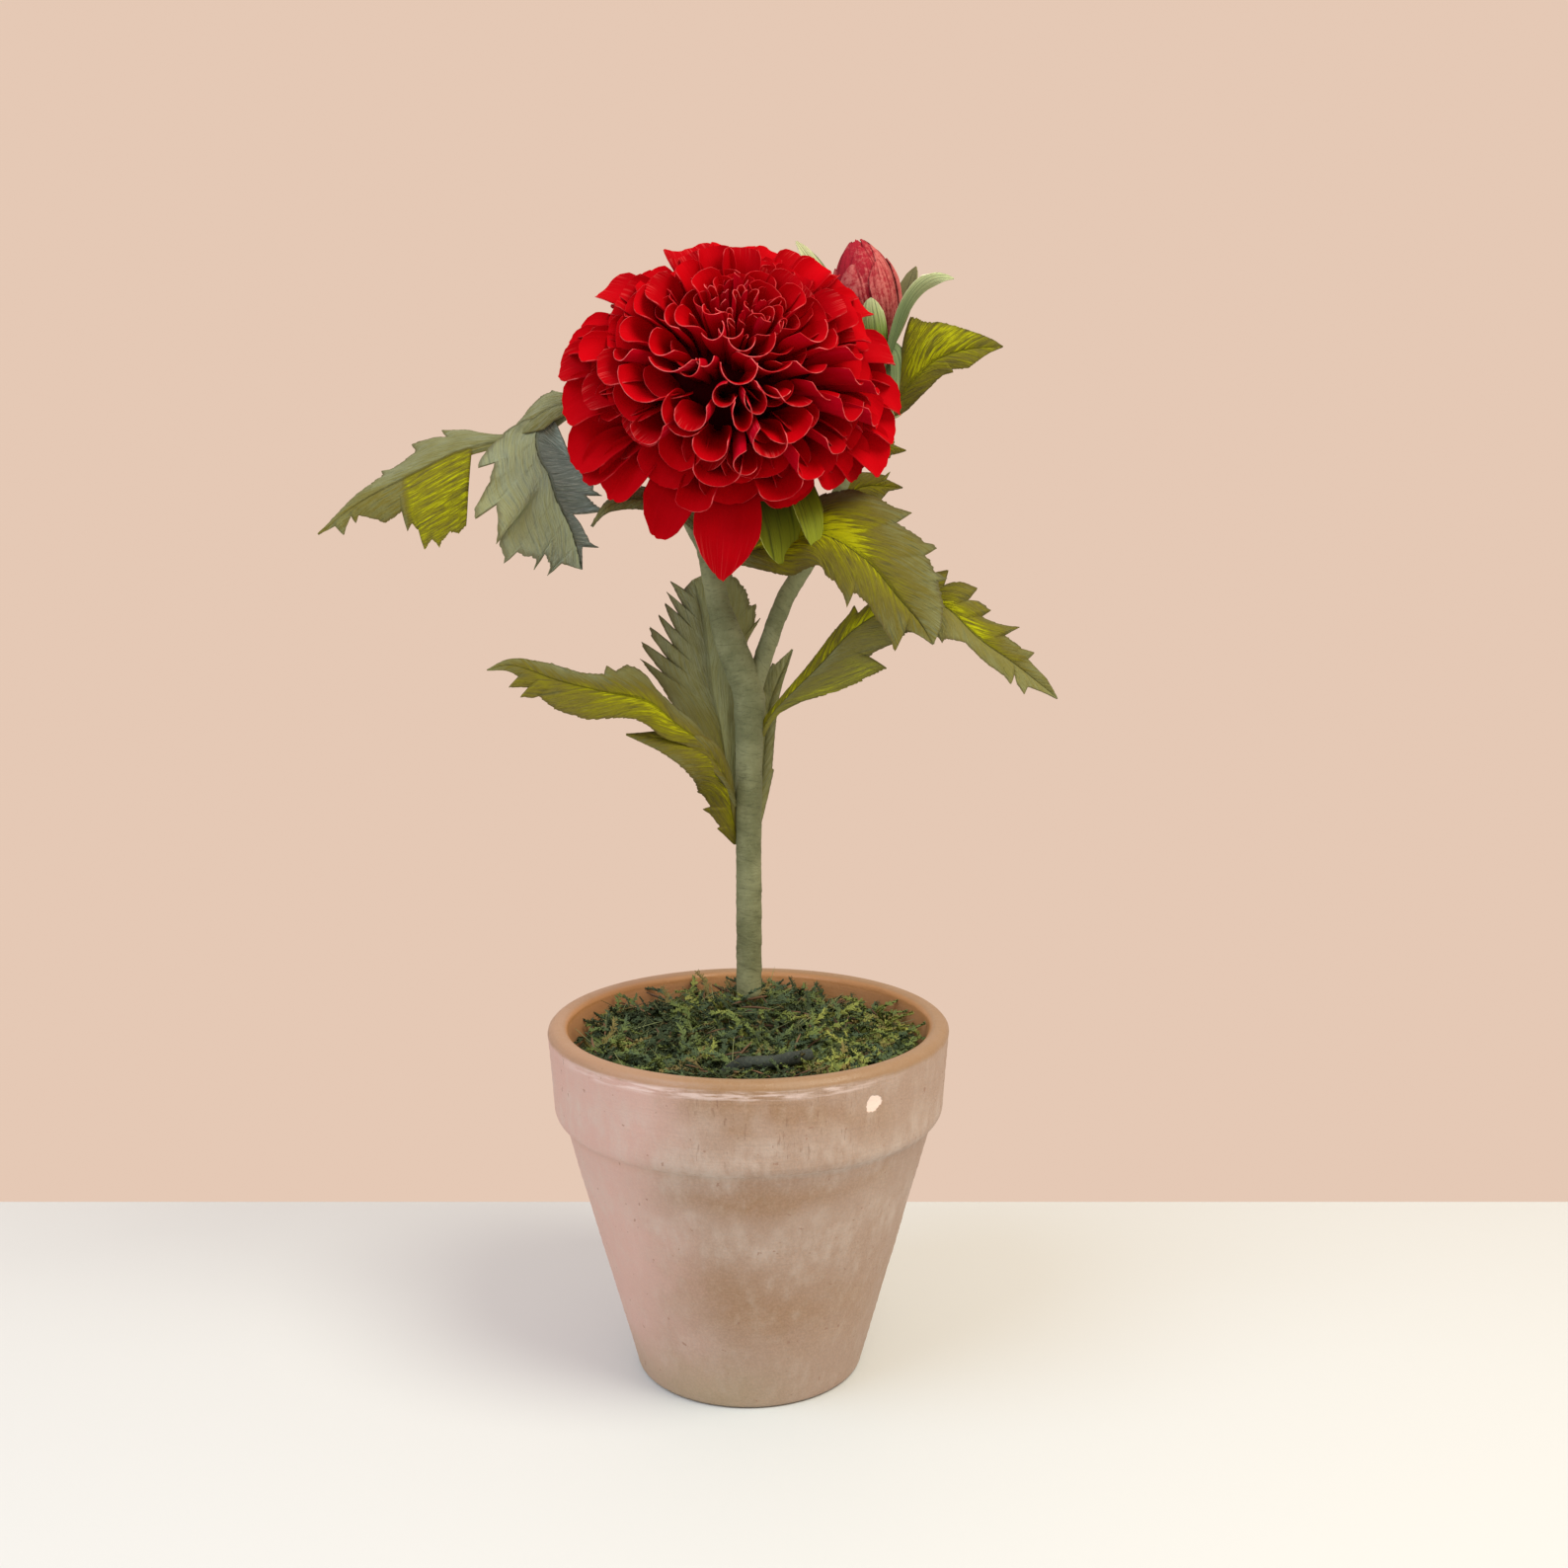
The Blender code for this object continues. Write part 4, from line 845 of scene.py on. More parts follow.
petalDefaults = {"width": 15.0, "roll": 90.0, "tipShare": 0.6, "tone": 0.5, "squash": 1.0,
                 "flare": 0.2, "ruffle": 1.0, "rounding": 0.2, "foot": 0.25, "ragged": 1.0,
                 "pale": 0.3}
# how long the waves of a petal's ruffles are
ruffleSize = 6.0


def petalTree():
    graph, given, end = newTree("curlPetals", [
        ("Points", "Geometry"), ("Rows", "Int"), ("Columns", "Int"), ("Ruffle", "Float"),
        ("Ruffle Size", "Float"), ("Material", "Material")])
    grid = graph.add("GeometryNodeMeshGrid", {"Size X": 1.0, "Size Y": 1.0,
                                              "Vertices X": given["Columns"],
                                              "Vertices Y": given["Rows"]})
    x, y, _ = graph.split(graph.add("GeometryNodeInputPosition"))
    grid = graph.store(graph.store(grid, "across", x * 2.0), "along", y + 0.5)
    petals = graph.add("GeometryNodeInstanceOnPoints",
                       {"Points": given["Points"], "Instance": grid})
    petals = graph.add("GeometryNodeRealizeInstances", {0: petals})

    across, along, tone = graph.named("across"), graph.named("along"), graph.named("tone")
    root, low, high, tip, inward = [graph.named(name, "FLOAT_VECTOR")
                                    for name in ("root", "low", "high", "tip", "inward")]
    # the end is round: its corners stop short of its middle, and it is a little ragged
    torn = graph.noise(graph.join(across * 4.0, tone * 50.0), 1.0, 3.0, 0.7) - 0.5
    corner = 1.0 - (1.0 - across * across * 0.99).calc("SQRT")
    t = (along - graph.named("rounding") * corner * along ** 4.0
         + torn * graph.named("ragged") * 0.06 * along ** 8.0)
    rest = 1.0 - t
    middle = (root * rest ** 3.0 + low * (rest * rest * t * 3.0) + high * (rest * t * t * 3.0)
              + tip * t ** 3.0)
    forward = ((low - root) * (rest * rest) + (high - low) * (rest * t * 2.0)
               + (tip - high) * (t * t)).unit()
    inner = (inward - forward * inward.dot(forward)).unit()
    side = forward.cross(inner)

    foot, tipShare = graph.named("foot"), graph.named("tipShare")
    grown = foot + (1.0 - foot) * graph.ramp(t, 0.0, 0.66)
    narrowed = 1.0 - (1.0 - tipShare) * graph.ramp(t, 0.68, 1.04, soft=False) ** 2.0
    width = graph.named("width") * grown * narrowed
    halfAngle = graph.named("roll") * (1.0 - graph.named("flare") * t)
    radius = width / (halfAngle * 2.0)
    angle = halfAngle * across
    sine, cosine = angle.calc("SINE"), angle.calc("COSINE")
    squash = graph.named("squash")
    spot = (middle + side * (radius * sine * squash)
            + inner * (radius * (1.0 - cosine)))
    wave = graph.noise(spot + graph.join(tone * 3.0, 0.0), 1.0 / given["Ruffle Size"], 2.0) - 0.5
    outward = side * sine - inner * cosine
    spot = spot + outward * (wave * given["Ruffle"] * graph.named("ruffle") * t * t)
    petals = graph.add("GeometryNodeSetPosition", {"Geometry": petals, "Position": spot})
    petals = graph.add("GeometryNodeSetShadeSmooth", {0: petals})
    return graph.close(petals, given["Material"], end)


def quadPetal(root, bend, tip, inward, **values):
    # a petal whose middle line passes through the bend halfway
    pull = bend * 2 - (root + tip) / 2
    return {**petalDefaults, **values, "root": root, "low": root.lerp(pull, 2 / 3),
            "high": tip.lerp(pull, 2 / 3), "tip": tip, "inward": inward}


def routePetal(route, inward, **values):
    # a petal whose middle line follows a longer route
    path = evenPath(route, 30)
    q0, q1, q2, q3 = (onPath(path, share) for share in (0, 1 / 3, 2 / 3, 1))
    return {**petalDefaults, **values, "root": q0, "low": (-5 * q0 + 18 * q1 - 9 * q2 + 2 * q3) / 6,
            "high": (2 * q0 - 9 * q1 + 18 * q2 - 5 * q3) / 6, "tip": q3, "inward": inward}


def growPetals(name, petals, grid, thickness, materials):
    # the grid is the rows and columns of each petal, and how deep its ruffles are
    rows, columns, ruffle = grid
    values = {key: [petal[key] * mm for petal in petals]
              for key in ("root", "low", "high", "tip")}
    values["inward"] = [petal["inward"] for petal in petals]
    values["width"] = [petal["width"] * mm for petal in petals]
    values["roll"] = [math.radians(petal["roll"]) for petal in petals]
    for key in ("tipShare", "tone", "squash", "flare", "ruffle", "rounding", "foot", "ragged",
                "pale"):
        values[key] = [petal[key] for petal in petals]
    thing = makeThing(name, [petal["root"] for petal in petals], [], values=values)
    growWith(thing, curlTree, {"Rows": rows, "Columns": columns, "Ruffle": ruffle * mm,
                               "Ruffle Size": ruffleSize * mm, "Material": materials[0]})
    return giveThickness(thing, thickness, materials)


curlTree = petalTree()


# the bloom

bloom = {
    "centre": Vector((-4, -8, 270)), "axis": Vector((0.15, -0.74, 0.656)).normalized(),
    "domeRadius": 41.0, "domeHeight": 29.0, "domeBack": 25.0,
    "coreDepth": 5.0, "coreRadius": 27.0, "coreHeight": 20.0, "coreBack": 12.0,
    "rootSunk": 3.5, "seed": 9, "petals": 150, "reach": 86.0, "crowding": 0.60,
    "quillWidth": 7.0, "openWidth": 15.0, "grownFrom": 42.0, "openedFrom": 50.0,
    "quillRoll": 115.0, "innerRoll": 76.0, "openRoll": 52.0, "apart": 5.6,
    "clearOfLoops": 6.8, "sunk": 0.08,
    # the petals of the outline with the palest ends
    "striped": [0, 2, 8, 13],
    "curls": 40, "curlReach": 22.0,
    "fringe": 22, "fringeReach": 88, "fringeLength": (35, 38), "fringeWidth": (12, 15),
    "backPetals": 13, "backReach": 104.0, "backLength": 36.5, "backWidth": 17.0,
    # rows nearer the calyx: how far round, length, how many, width
    "lowerRings": [(118, 32.0, 12, 16.0), (131, 26.5, 9, 14.0)],
    "lowerSeed": 11,
    # how far the petals of the fringe and the filling ones stay out of the outline's notches
    "fringeRoom": 6.5, "fillingRoom": 5.5,
    "thickness": 0.22, "outerGrid": (26, 17, 1.4), "domeGrid": (18, 15, 1.1),
    "middleGrid": (12, 8, 0.8),
    # base, which is painted shade towards the roots, body, light streaks, stripes at the end, how
    # strong those are, and the pale rim
    "inside": ("82000a", "b6000c", "c60818", "e4605e", 0.35),
    "outside": ("840016", "b8021a", "cc1236", "e66070", 0.35),
    "rim": ("7c0610", "b00a16", "bc1e28", "dc5858", 0.2, "dc6668"),
    # the core's near-black colours are painted shade
    "coreShadeDyes": ("2a0003", "480007"),
}
# the petals of the outline: tip, width, half roll, bow, width at the tip
outerPetals = [
    ((-47, -15, 271), 15, 66, 4, 0.5), ((-43, -9, 281.5), 11, 70, 4, 0.15),
    ((-37, -2, 292.5), 14, 60, 4, 0.75), ((-17, 6, 304), 16, 66, 3, 0.7),
    ((-4, 8, 305), 15, 64, 3, 0.7), ((9, 9, 303), 15, 68, 3, 0.7),
    ((21, 8, 299), 14, 72, 4, 0.6), ((31, 5, 289), 14, 70, 4, 0.65),
    ((38, 2, 276), 14, 68, 4, 0.6), ((40, -2, 263), 14, 70, 4, 0.6),
    ((35, -10, 247), 16, 60, 5, 0.7), ((23, -18, 243), 15, 65, 5, 0.6),
    ((12, -24, 240), 14, 72, 6, 0.5), ((-6, -24, 220), 18, 44, 9, 0.08),
    ((-22, -21, 230), 15, 60, 8, 0.35), ((-34, -21, 240), 15, 62, 6, 0.55),
    ((-43, -19, 248), 17, 56, 5, 0.6), ((-45, -19, 260), 17, 62, 5, 0.6),
    # shorter ones between them
    ((-45, -12, 277), 12, 75, 4, 0.55), ((15, 7, 302), 13, 75, 3, 0.6),
    ((27, 5, 293), 13, 72, 4, 0.6), ((37, 1, 270), 12, 75, 4, 0.6),
    ((38, -7, 255), 13, 72, 4, 0.6), ((-40, -20, 244), 13, 66, 5, 0.4),
    ((34, -13, 259), 13, 75, 4, 0.7), ((31, -8, 281), 13, 78, 4, 0.7),
    ((28.5, -13, 245.5), 15, 62, 5, 0.65),
]
# places in the outline that stay open
notches = [(-39.5, -4, 280.2), (-40.5, -4, 284), (-26.9, 2, 294.4), (34.1, -4, 273.3),
           (-42.6, -18, 260.7), (-24.5, -24, 240.1), (8.7, -28, 238.5), (-16.0, -24, 231.6)]
# the quills seen end on: tip, which way they open in the picture, width, half roll, squash
frontPetals = [
    ((-12, -41, 269), 110, 10, 100, 0.9), ((-9, -41, 271), 95, 8, 95, 0.9),
    ((-6, -38, 278), 120, 11, 105, 0.9), ((0, -39, 275), 95, 10.5, 100, 1.0),
    ((-1, -41, 267), 90, 15, 105, 1.0), ((-7, -43, 263), 30, 13, 140, 0.9),
    ((0, -42, 256), 95, 19, 155, 0.62), ((4, -42, 260), 110, 17, 155, 0.8),
    ((-12, -43, 256), 90, 15.5, 118, 1.0), ((-18, -41, 257), 40, 16, 85, 1.0),
    ((-8, -41, 249), 85, 15, 110, 1.0), ((-2, -41, 247), 35, 13, 125, 1.0),
    ((5, -41, 250), 80, 18, 140, 1.1), ((-11, -32, 237), 90, 14, 78, 1.0),
    ((-6, -38, 243), 90, 16, 92, 1.1), ((10, -32, 240), 110, 15, 76, 1.0),
    ((14, -35, 245), 70, 15.5, 84, 1.0), ((22, -31, 251), 90, 11.5, 66, 1.0),
    ((26, -30, 259), 100, 16, 90, 1.0), ((13, -39, 254), 120, 14, 60, 1.0),
    ((7, -39, 270), 90, 12.5, 62, 1.0), ((19, -30, 278), 130, 15, 82, 1.0),
    ((22, -28, 277), 150, 11, 64, 1.0), ((5, -38, 274), 120, 14, 76, 1.0),
    ((-22, -37, 275), 35, 13.5, 105, 1.0), ((-30, -34, 273), 75, 10, 88, 1.0),
    ((-27, -38, 264), 50, 18, 68, 1.0), ((-23, -39, 253), 80, 14.5, 90, 1.0),
    ((-19, -34, 283), 10, 10, 78, 1.0), ((-18, -41, 270), 80, 14, 62, 1.0),
    ((17, -35, 270), 95, 11.5, 58, 1.0), ((20, -34, 264), 80, 12, 56, 1.0),
    ((12, -39, 262), 80, 12, 56, 1.0), ((28, -25, 274), 95, 11.5, 58, 1.0),
    ((7, -41, 264), 80, 11, 62, 1.0), ((32, -22, 258), 95, 13, 66, 1.0),
    ((28, -27, 268), 70, 10, 60, 1.0), ((33, -21, 266), 90, 10, 56, 1.0),
    ((-3, -37, 278), 90, 9, 95, 1.0), ((-9, -34, 284), 60, 8, 100, 1.0),
]
# cupped petals that face the middle: tip, width, half roll
cuppedPetals = [
    ((-9, -15, 302), 12.5, 82), ((-16, -21, 297), 10, 66), ((-12, -25, 294), 12.5, 76),
    ((-16, -35, 282), 11, 85), ((-27, -27, 287), 14, 62), ((-30, -31, 279), 11, 80),
    ((-41, -23, 275), 12.5, 80), ((-1, -14, 302), 12.5, 84), ((20, -1, 299), 11, 82),
    ((13, -19, 294), 12, 66), ((15, -24, 289), 12, 82), ((25, -15, 288), 12, 66),
    ((28, -13, 286), 14, 58), ((-39, -27, 263), 14, 75), ((-35, -32, 269), 14, 66),
    ((-24, -25, 291), 14, 66),
]


def flowerDirection(polar, turn):
    right = Vector((0, 0, 1)).cross(bloom["axis"]).normalized()
    back = bloom["axis"].cross(right)
    return (bloom["axis"] * math.cos(polar)
            + (right * math.cos(turn) + back * math.sin(turn)) * math.sin(polar))


def domeReach(polar):
    height = bloom["domeHeight"] if polar < math.pi / 2 else bloom["domeBack"]
    return 1 / math.hypot(math.cos(polar) / height, math.sin(polar) / bloom["domeRadius"])


def coreRoot(tip):
    middle = bloom["centre"] - bloom["axis"] * bloom["coreDepth"]
    direction = (tip - middle).normalized()
    along = direction.dot(bloom["axis"])
    across = math.sqrt(max(1 - along * along, 0))
    height = bloom["coreHeight"] if along > 0 else bloom["coreBack"]
    reach = 1 / math.hypot(along / height, across / bloom["coreRadius"])
    return middle + direction * (reach - bloom["rootSunk"])


def inNotch(tip, reach):
    return any(math.hypot(tip.x - x, tip.z - z) < reach and tip.y > y - 8 for x, y, z in notches)


def bloomPetal(tip, bow, inward=None, **values):
    root = coreRoot(tip)
    bend = root.lerp(tip, 0.5) + bloom["axis"] * bow
    return quadPetal(root, bend, tip, inward or bloom["axis"], **values)


def outlinePetals(rng):
    petals = []
    for tip, width, roll, bow, blunt in outerPetals:
        petals.append(bloomPetal(Vector(tip), bow, width=width, roll=roll, tipShare=blunt + 0.2,
                                 tone=rng.random(), flare=0.25, ruffle=1.6, rounding=0.26,
                                 ragged=1.5, pale=0.2))
    for index in bloom["striped"]:
        petals[index].update(tone=0.84, pale=1.0)
    for index in range(bloom["backPetals"]):
        polar = math.radians(bloom["backReach"] + rng.uniform(-5, 5))
        turn = 2 * math.pi * (index + 0.5) / bloom["backPetals"]
        tip = bloom["centre"] + flowerDirection(polar, turn) * bloom["backLength"]
        petals.append(bloomPetal(tip, 3, width=bloom["backWidth"], roll=55, tone=rng.random(),
                                 ruffle=1.4, ragged=1.4))
    return petals


def lowerPetals():
    rng = random.Random(bloom["lowerSeed"])
    petals = []
    for reach, length, count, width in bloom["lowerRings"]:
        for index in range(count):
            turn = 2 * math.pi * (index + rng.uniform(0.3, 0.7)) / count
            way = flowerDirection(math.radians(reach + rng.uniform(-3, 3)), turn)
            petals.append(bloomPetal(bloom["centre"] + way * length, 2, width=width, roll=50,
                                     tone=rng.random(), ruffle=1.2, ragged=1.4))
    return petals


def fringePetals(rng):
    petals = []
    for index in range(bloom["fringe"]):
        polar = math.radians(bloom["fringeReach"] + rng.uniform(-5, 5))
        turn = 2 * math.pi * (index + rng.uniform(0.2, 0.8)) / bloom["fringe"]
        way = flowerDirection(polar, turn)
        tip = bloom["centre"] + way * rng.uniform(*bloom["fringeLength"])
        width = rng.uniform(*bloom["fringeWidth"])
        if not inNotch(tip, bloom["fringeRoom"]):
            petals.append(bloomPetal(tip, 4, width=width, roll=75, tone=rng.random(),
                                     ruffle=1.5, ragged=1.4))
    return petals


def placedPetals(rng):
    petals = []
    down = math.radians(camera["down"])
    upInPicture = Vector((0, math.sin(down), math.cos(down)))
    for tip, opening, width, roll, squash in frontPetals:
        turn = math.radians(opening)
        inward = Vector((1, 0, 0)) * math.cos(turn) + upInPicture * math.sin(turn)
        petals.append(bloomPetal(Vector(tip), 1, inward, width=width, roll=roll, squash=squash,
                                 tone=rng.random(), tipShare=0.95, flare=0.1, rounding=0.08,
                                 ragged=0.8, ruffle=0.8, pale=0.9))
    for tip, width, roll in cuppedPetals:
        petals.append(bloomPetal(Vector(tip), 2.5, width=width, roll=roll, tone=rng.random(),
                                 tipShare=0.8, rounding=0.2, flare=0.2, ragged=1.2, ruffle=1.4,
                                 pale=0.5))
    return petals


def takenPlaces():
    # where the placed petals end, and the room that each of them keeps
    taken = [(Vector(row[0]), bloom["apart"]) for row in outerPetals + cuppedPetals]
    return taken + [(Vector(tip), bloom["clearOfLoops"] if roll > 80 else bloom["apart"])
                    for tip, _, _, roll, _ in frontPetals]


def fillingPetals(rng):
    # the rest fill in behind the placed ones, round the golden angle
    petals = []
    taken = takenPlaces()
    for index in range(bloom["petals"]):
        share = (index + 0.6) / bloom["petals"]
        polar = math.radians(bloom["reach"]) * share ** bloom["crowding"]
        polar += math.radians(rng.uniform(-2, 2))
        turn = index * goldenAngle + rng.uniform(-0.08, 0.08)
        degrees = math.degrees(polar)
        grown = min(degrees / bloom["grownFrom"], 1)
        opened = max(degrees - bloom["openedFrom"], 0) / (90 - bloom["openedFrom"])
        width = (bloom["quillWidth"] + (bloom["openWidth"] - bloom["quillWidth"]) * grown
                 + rng.uniform(-1.5, 1.5))
        roll = (bloom["quillRoll"] + (bloom["innerRoll"] - bloom["quillRoll"]) * grown
                + (bloom["openRoll"] - bloom["innerRoll"]) * opened + rng.uniform(-18, 18))
        reach = domeReach(polar) * (rng.uniform(0.93, 0.99) - bloom["sunk"] * grown)
        tip = bloom["centre"] + flowerDirection(polar, turn) * reach
        values = {"width": width, "roll": roll, "tone": rng.random(),
                  "squash": rng.uniform(0.8, 1.2), "tipShare": 0.75 + 0.1 * opened,
                  "rounding": 0.12 + 0.1 * opened, "ruffle": rng.uniform(0.8, 2.0),
                  "pale": rng.uniform(0.0, 0.4)}
        clear = all((tip - other).length > room for other, room in taken)
        if degrees > 20 and clear and not inNotch(tip, bloom["fillingRoom"]):
            petals.append(bloomPetal(tip, 1 + 2 * opened, **values))
    return petals


def middleCurls(rng):
    def anyWay():
        return Vector((rng.uniform(-1, 1), rng.uniform(-1, 1), rng.uniform(-1, 1)))

    petals = []
    for index in range(bloom["curls"]):
        polar = math.radians(bloom["curlReach"]) * ((index + 0.5) / bloom["curls"]) ** 0.5
        turn = index * goldenAngle + rng.uniform(-0.3, 0.3)
        tip = (bloom["centre"] + flowerDirection(polar, turn) * domeReach(polar)
               * rng.uniform(0.86, 1.0))
        tip += anyWay()
        petals.append(bloomPetal(tip, 0.5, bloom["axis"] + anyWay() * 0.9,
                                 width=rng.uniform(2.5, 5.5), roll=rng.uniform(30, 120),
                                 tone=rng.random(), tipShare=rng.uniform(0.4, 0.9), flare=0,
                                 ruffle=2.0, rounding=0.15, ragged=2.0,
                                 pale=rng.uniform(0.4, 1.0)))
    return petals


def petalFinish(name, deep, full, light, stripe, stripeShare, palest=None):
    def build(graph):
        along, across, tone, pale = graph.attributes("along", "across", "tone", "pale")
        lengthwise = graph.noise(graph.join(across * 6.0, along * 0.8, tone * 60.0), 1.0, 4.0,
                                 0.6)
        fine = graph.noise(graph.join(across * 22.0, along * 1.6, tone * 90.0), 1.0, 2.0)
        cloud = graph.noise(graph.objectPlace(), 110.0, 3.0, 0.55)
        stripes = graph.ramp(along, 0.75, 1.0) * graph.ramp(fine, 0.54, 0.70)
        stripes = stripes * graph.ramp(tone, 0.72, 0.86)
        # towards the root the body fades to the base colour: painted shade; the tone and cloud coat
        # darkens some petals and patches, partly at random and partly as painted shade
        coats = [(graph.ramp(along, 0.05, 0.55), full),
                 (graph.ramp(lengthwise, 0.45, 0.75) * 0.3, light),
                 (graph.ramp(tone + (cloud - 0.5), 0.3, 1.0) * 0.35, deep),
                 (stripes * stripeShare, stripe)]
        if palest:
            patches = graph.noise(graph.objectPlace(), 260.0, 3.0, 0.6)
            ends = graph.ramp(along, 0.84, 1.0) * pale * graph.ramp(patches, 0.38, 0.62, 0.12)
            coats.append((ends, palest))
        return {"Base Color": graph.paint(tint(deep), *coats),
                "Height": (lengthwise * 0.7 + fine * 0.3, 0.00012)}
    return finish(name, build, Roughness=0.75, Specular_IOR_Level=0.03)


# near-black paper standing in for the shade deep between the petals: painted shade
def coreShadeFinish():
    def build(graph):
        dark, light = bloom["coreShadeDyes"]
        return {"Base Color": graph.blend(graph.noise(graph.objectPlace(), 300.0), tint(dark),
                                          tint(light))}
    return finish("bloomCore", build, Roughness=0.9, Specular_IOR_Level=0.05)


def makeBloom():
    materials = [petalFinish(name, *bloom[side]) for name, side in (
        ("petalInside", "inside"), ("petalOutside", "outside"), ("petalRim", "rim"))]
    rng = random.Random(bloom["seed"])
    outer = outlinePetals(rng) + lowerPetals() + fringePetals(rng)
    dome = placedPetals(rng) + fillingPetals(rng)
    middle = middleCurls(rng)
    print("petals:", len(outer), len(dome), len(middle))
    for name, petals, grid, nodes in (
            ("bloomOuterPetals", outer, "outerGrid", ["bloom_petals"]),
            ("bloomDomePetals", dome, "domeGrid", []),
            ("bloomMiddleCurls", middle, "middleGrid", [])):
        grown = growPetals(name, petals, bloom[grid], bloom["thickness"], materials)
        place(grown, "petal_paper", *nodes)
    # the core stays just under the petals' roots, near black as painted shade for the gaps between
    # them
    core = eggShape("bloomCore", bloom["centre"] - bloom["axis"] * bloom["coreDepth"],
                    bloom["axis"], bloom["coreRadius"] - 1.5, bloom["coreHeight"] - 1.5,
                    bloom["coreBack"] - 1, 48, 24, [coreShadeFinish()])
    place(core, "petal_paper")


def eggShape(name, centre, axis, radius, top, bottom, segments, rings, materials, rough=0.0):
    side = axis.cross(Vector((0, 1, 0.3))).normalized()
    other = axis.cross(side)
    points = [centre - axis * bottom]
    for ring in range(1, rings):
        angle = math.pi * ring / rings
        height = -math.cos(angle) * (top if angle > math.pi / 2 else bottom)
        for cosine, sine in circle(segments):
            out = side * cosine + other * sine
            swell = 1 + rough * noise.noise(Vector((cosine * 4, sine * 4, height / 6)))
            points.append(centre + axis * height + out * radius * math.sin(angle) * swell)
    points.append(centre + axis * top)
    faces = ringFaces(rings - 1, segments, start=1)
    last = 1 + (rings - 2) * segments
    for segment in range(segments):
        after = (segment + 1) % segments
        faces += [(0, 1 + after, 1 + segment), (last + segment, last + after, len(points) - 1)]
    thing = makeThing(name, points, faces, materials)
    form = bmesh.new()
    form.from_mesh(thing.data)
    bmesh.ops.recalc_face_normals(form, faces=form.faces)
    form.to_mesh(thing.data)
    form.free()
    return thing


makeBloom()
print("bloom made")


# the leaves

sheet = {
    "rowStep": 0.32, "columns": 13, "thickness": 0.34, "grainPitch": 0.55, "wave": 1.3,
    "waveSize": 11, "bow": 1.1, "jag": 0.035, "jagPitch": 0.55, "toothPitch": 3.1,
    "spikeLength": 0.022,
    # crepe paper dyed from grey sage over olive to yellow green
    "dyes": [(-0.25, "7b897e"), (0.0, "8a9170"), (0.22, "787a4c"), (0.45, "6c662a"),
             (0.8, "80800c"), (1.05, "b2b80a")],
    # the two crease colours are painted shade in the crepe's hollows
    "creaseShade": "2e3316", "fineCreaseShade": "343818", "fibre": "b4ba70", "frost": "c2ccbc",
    # lift is painted light: a paler green for leaf halves that lie in shade
    "lift": "c4cc90", "dusk": "46392a", "margin": "54492c", "rib": "23281a",
}
# what a leaf has unless its own values say otherwise
plainTones = [(0, 0.8, 0.4), (1, 0.65, 0.35)]
usualLeaf = {
    "grain": 0.15, "grainAngle": {"near": 24, "far": 24}, "teeth": 0.35, "spike": 0.9,
    "ribLine": 0.35, "flip": False, "tones": {"near": plainTones, "far": plainTones},
    "dusk": {"near": 0.0, "far": 0.0}, "lift": {"near": 0.0, "far": 0.0},
}
# what each point of a leaf tells its paper
leafValues = ("along", "across", "spread", "share", "warm", "dusk", "ribLine", "lift")
# rib: its path from the stem; near and far: which way that half runs at the base and at the
# tip, how far it leans forward, and its width along the rib
# tones: along each half, how yellow the green is at the rib and at the edge (0 is grey sage)
# lift: how much painted light brightens each half where it lies in shade
farLeaflet = {
    "rib": [(-56, 8, 257), (-65, 8, 255), (-76, 5, 252), (-88, 1, 246), (-101, -3, 239),
            (-111, -8, 231)],
    "near": ((0, -0.3, -1), (0, -0.3, -1), 20,
             [(0, 1.5), (0.28, 1.5), (0.30, 15), (0.31, 20), (0.38, 20.5), (0.42, 19),
              (0.485, 20.5), (0.51, 18.5), (0.545, 19.5), (0.555, 14.5), (0.60, 12.5), (0.61, 8),
              (0.69, 8.5), (0.83, 3), (0.84, 1.5), (0.90, 3.5), (0.92, 1)]),
    "far": ((0, 0.8, 0.6), (0, 0.8, 0.6), 30,
            [(0, 1.5), (0.12, 5), (0.19, 11), (0.25, 13), (0.27, 10), (0.36, 14), (0.39, 10.5),
             (0.55, 10.5), (0.57, 9), (0.70, 6), (0.85, 2.5)]),
    "tones": {"near": [(0, 0.2, 0.2), (0.27, 0.3, 0.3), (0.29, 0.75, 0.8), (0.57, 0.7, 0.8),
                       (0.60, 0.4, 0.3), (1, 0.3, 0.2)],
              "far": [(0, 0.05, 0.15), (0.5, 0.3, 0.1), (1, 0.3, 0.25)]},
    "ribLine": 0.2, "grainAngle": {"near": 3, "far": 12},
}
bigLeaflet = {
    "rib": [(-53, 11, 262), (-56, 7, 257), (-55, 3, 251), (-52, 0, 246), (-50, -2, 240),
            (-46, -4, 232), (-43, -6, 222)],
    "near": ((-1, -0.3, 0), (-0.8, -0.2, -0.5), 35,
             [(0, 3), (0.08, 6.5), (0.13, 10), (0.19, 16.5), (0.20, 13), (0.25, 17), (0.31, 24),
              (0.32, 18.5), (0.39, 25), (0.41, 20), (0.57, 21), (0.58, 17.5), (0.69, 14.5),
              (0.70, 11), (0.85, 10), (0.87, 6)]),
    "far": ((1, 0.4, 0.3), (1, 0.5, 0), 20,
            [(0, 3), (0.06, 12), (0.26, 13.5), (0.38, 12), (0.50, 12), (0.51, 9.5),
             (0.66, 11), (0.67, 3), (0.85, 5), (0.86, 2)]),
    "tones": {"near": [(0, 0.05, 0.05), (0.3, 0.15, 0.2), (0.7, 0.2, 0.15), (1, 0.05, 0.05)],
              "far": [(0, -0.15, -0.2), (1, -0.05, -0.15)]},
    "ribLine": 0.9, "spike": 1.6, "grainAngle": {"near": 14, "far": 80}, "grain": 0.34,
    "lift": {"near": 0.2, "far": 0.0},
}
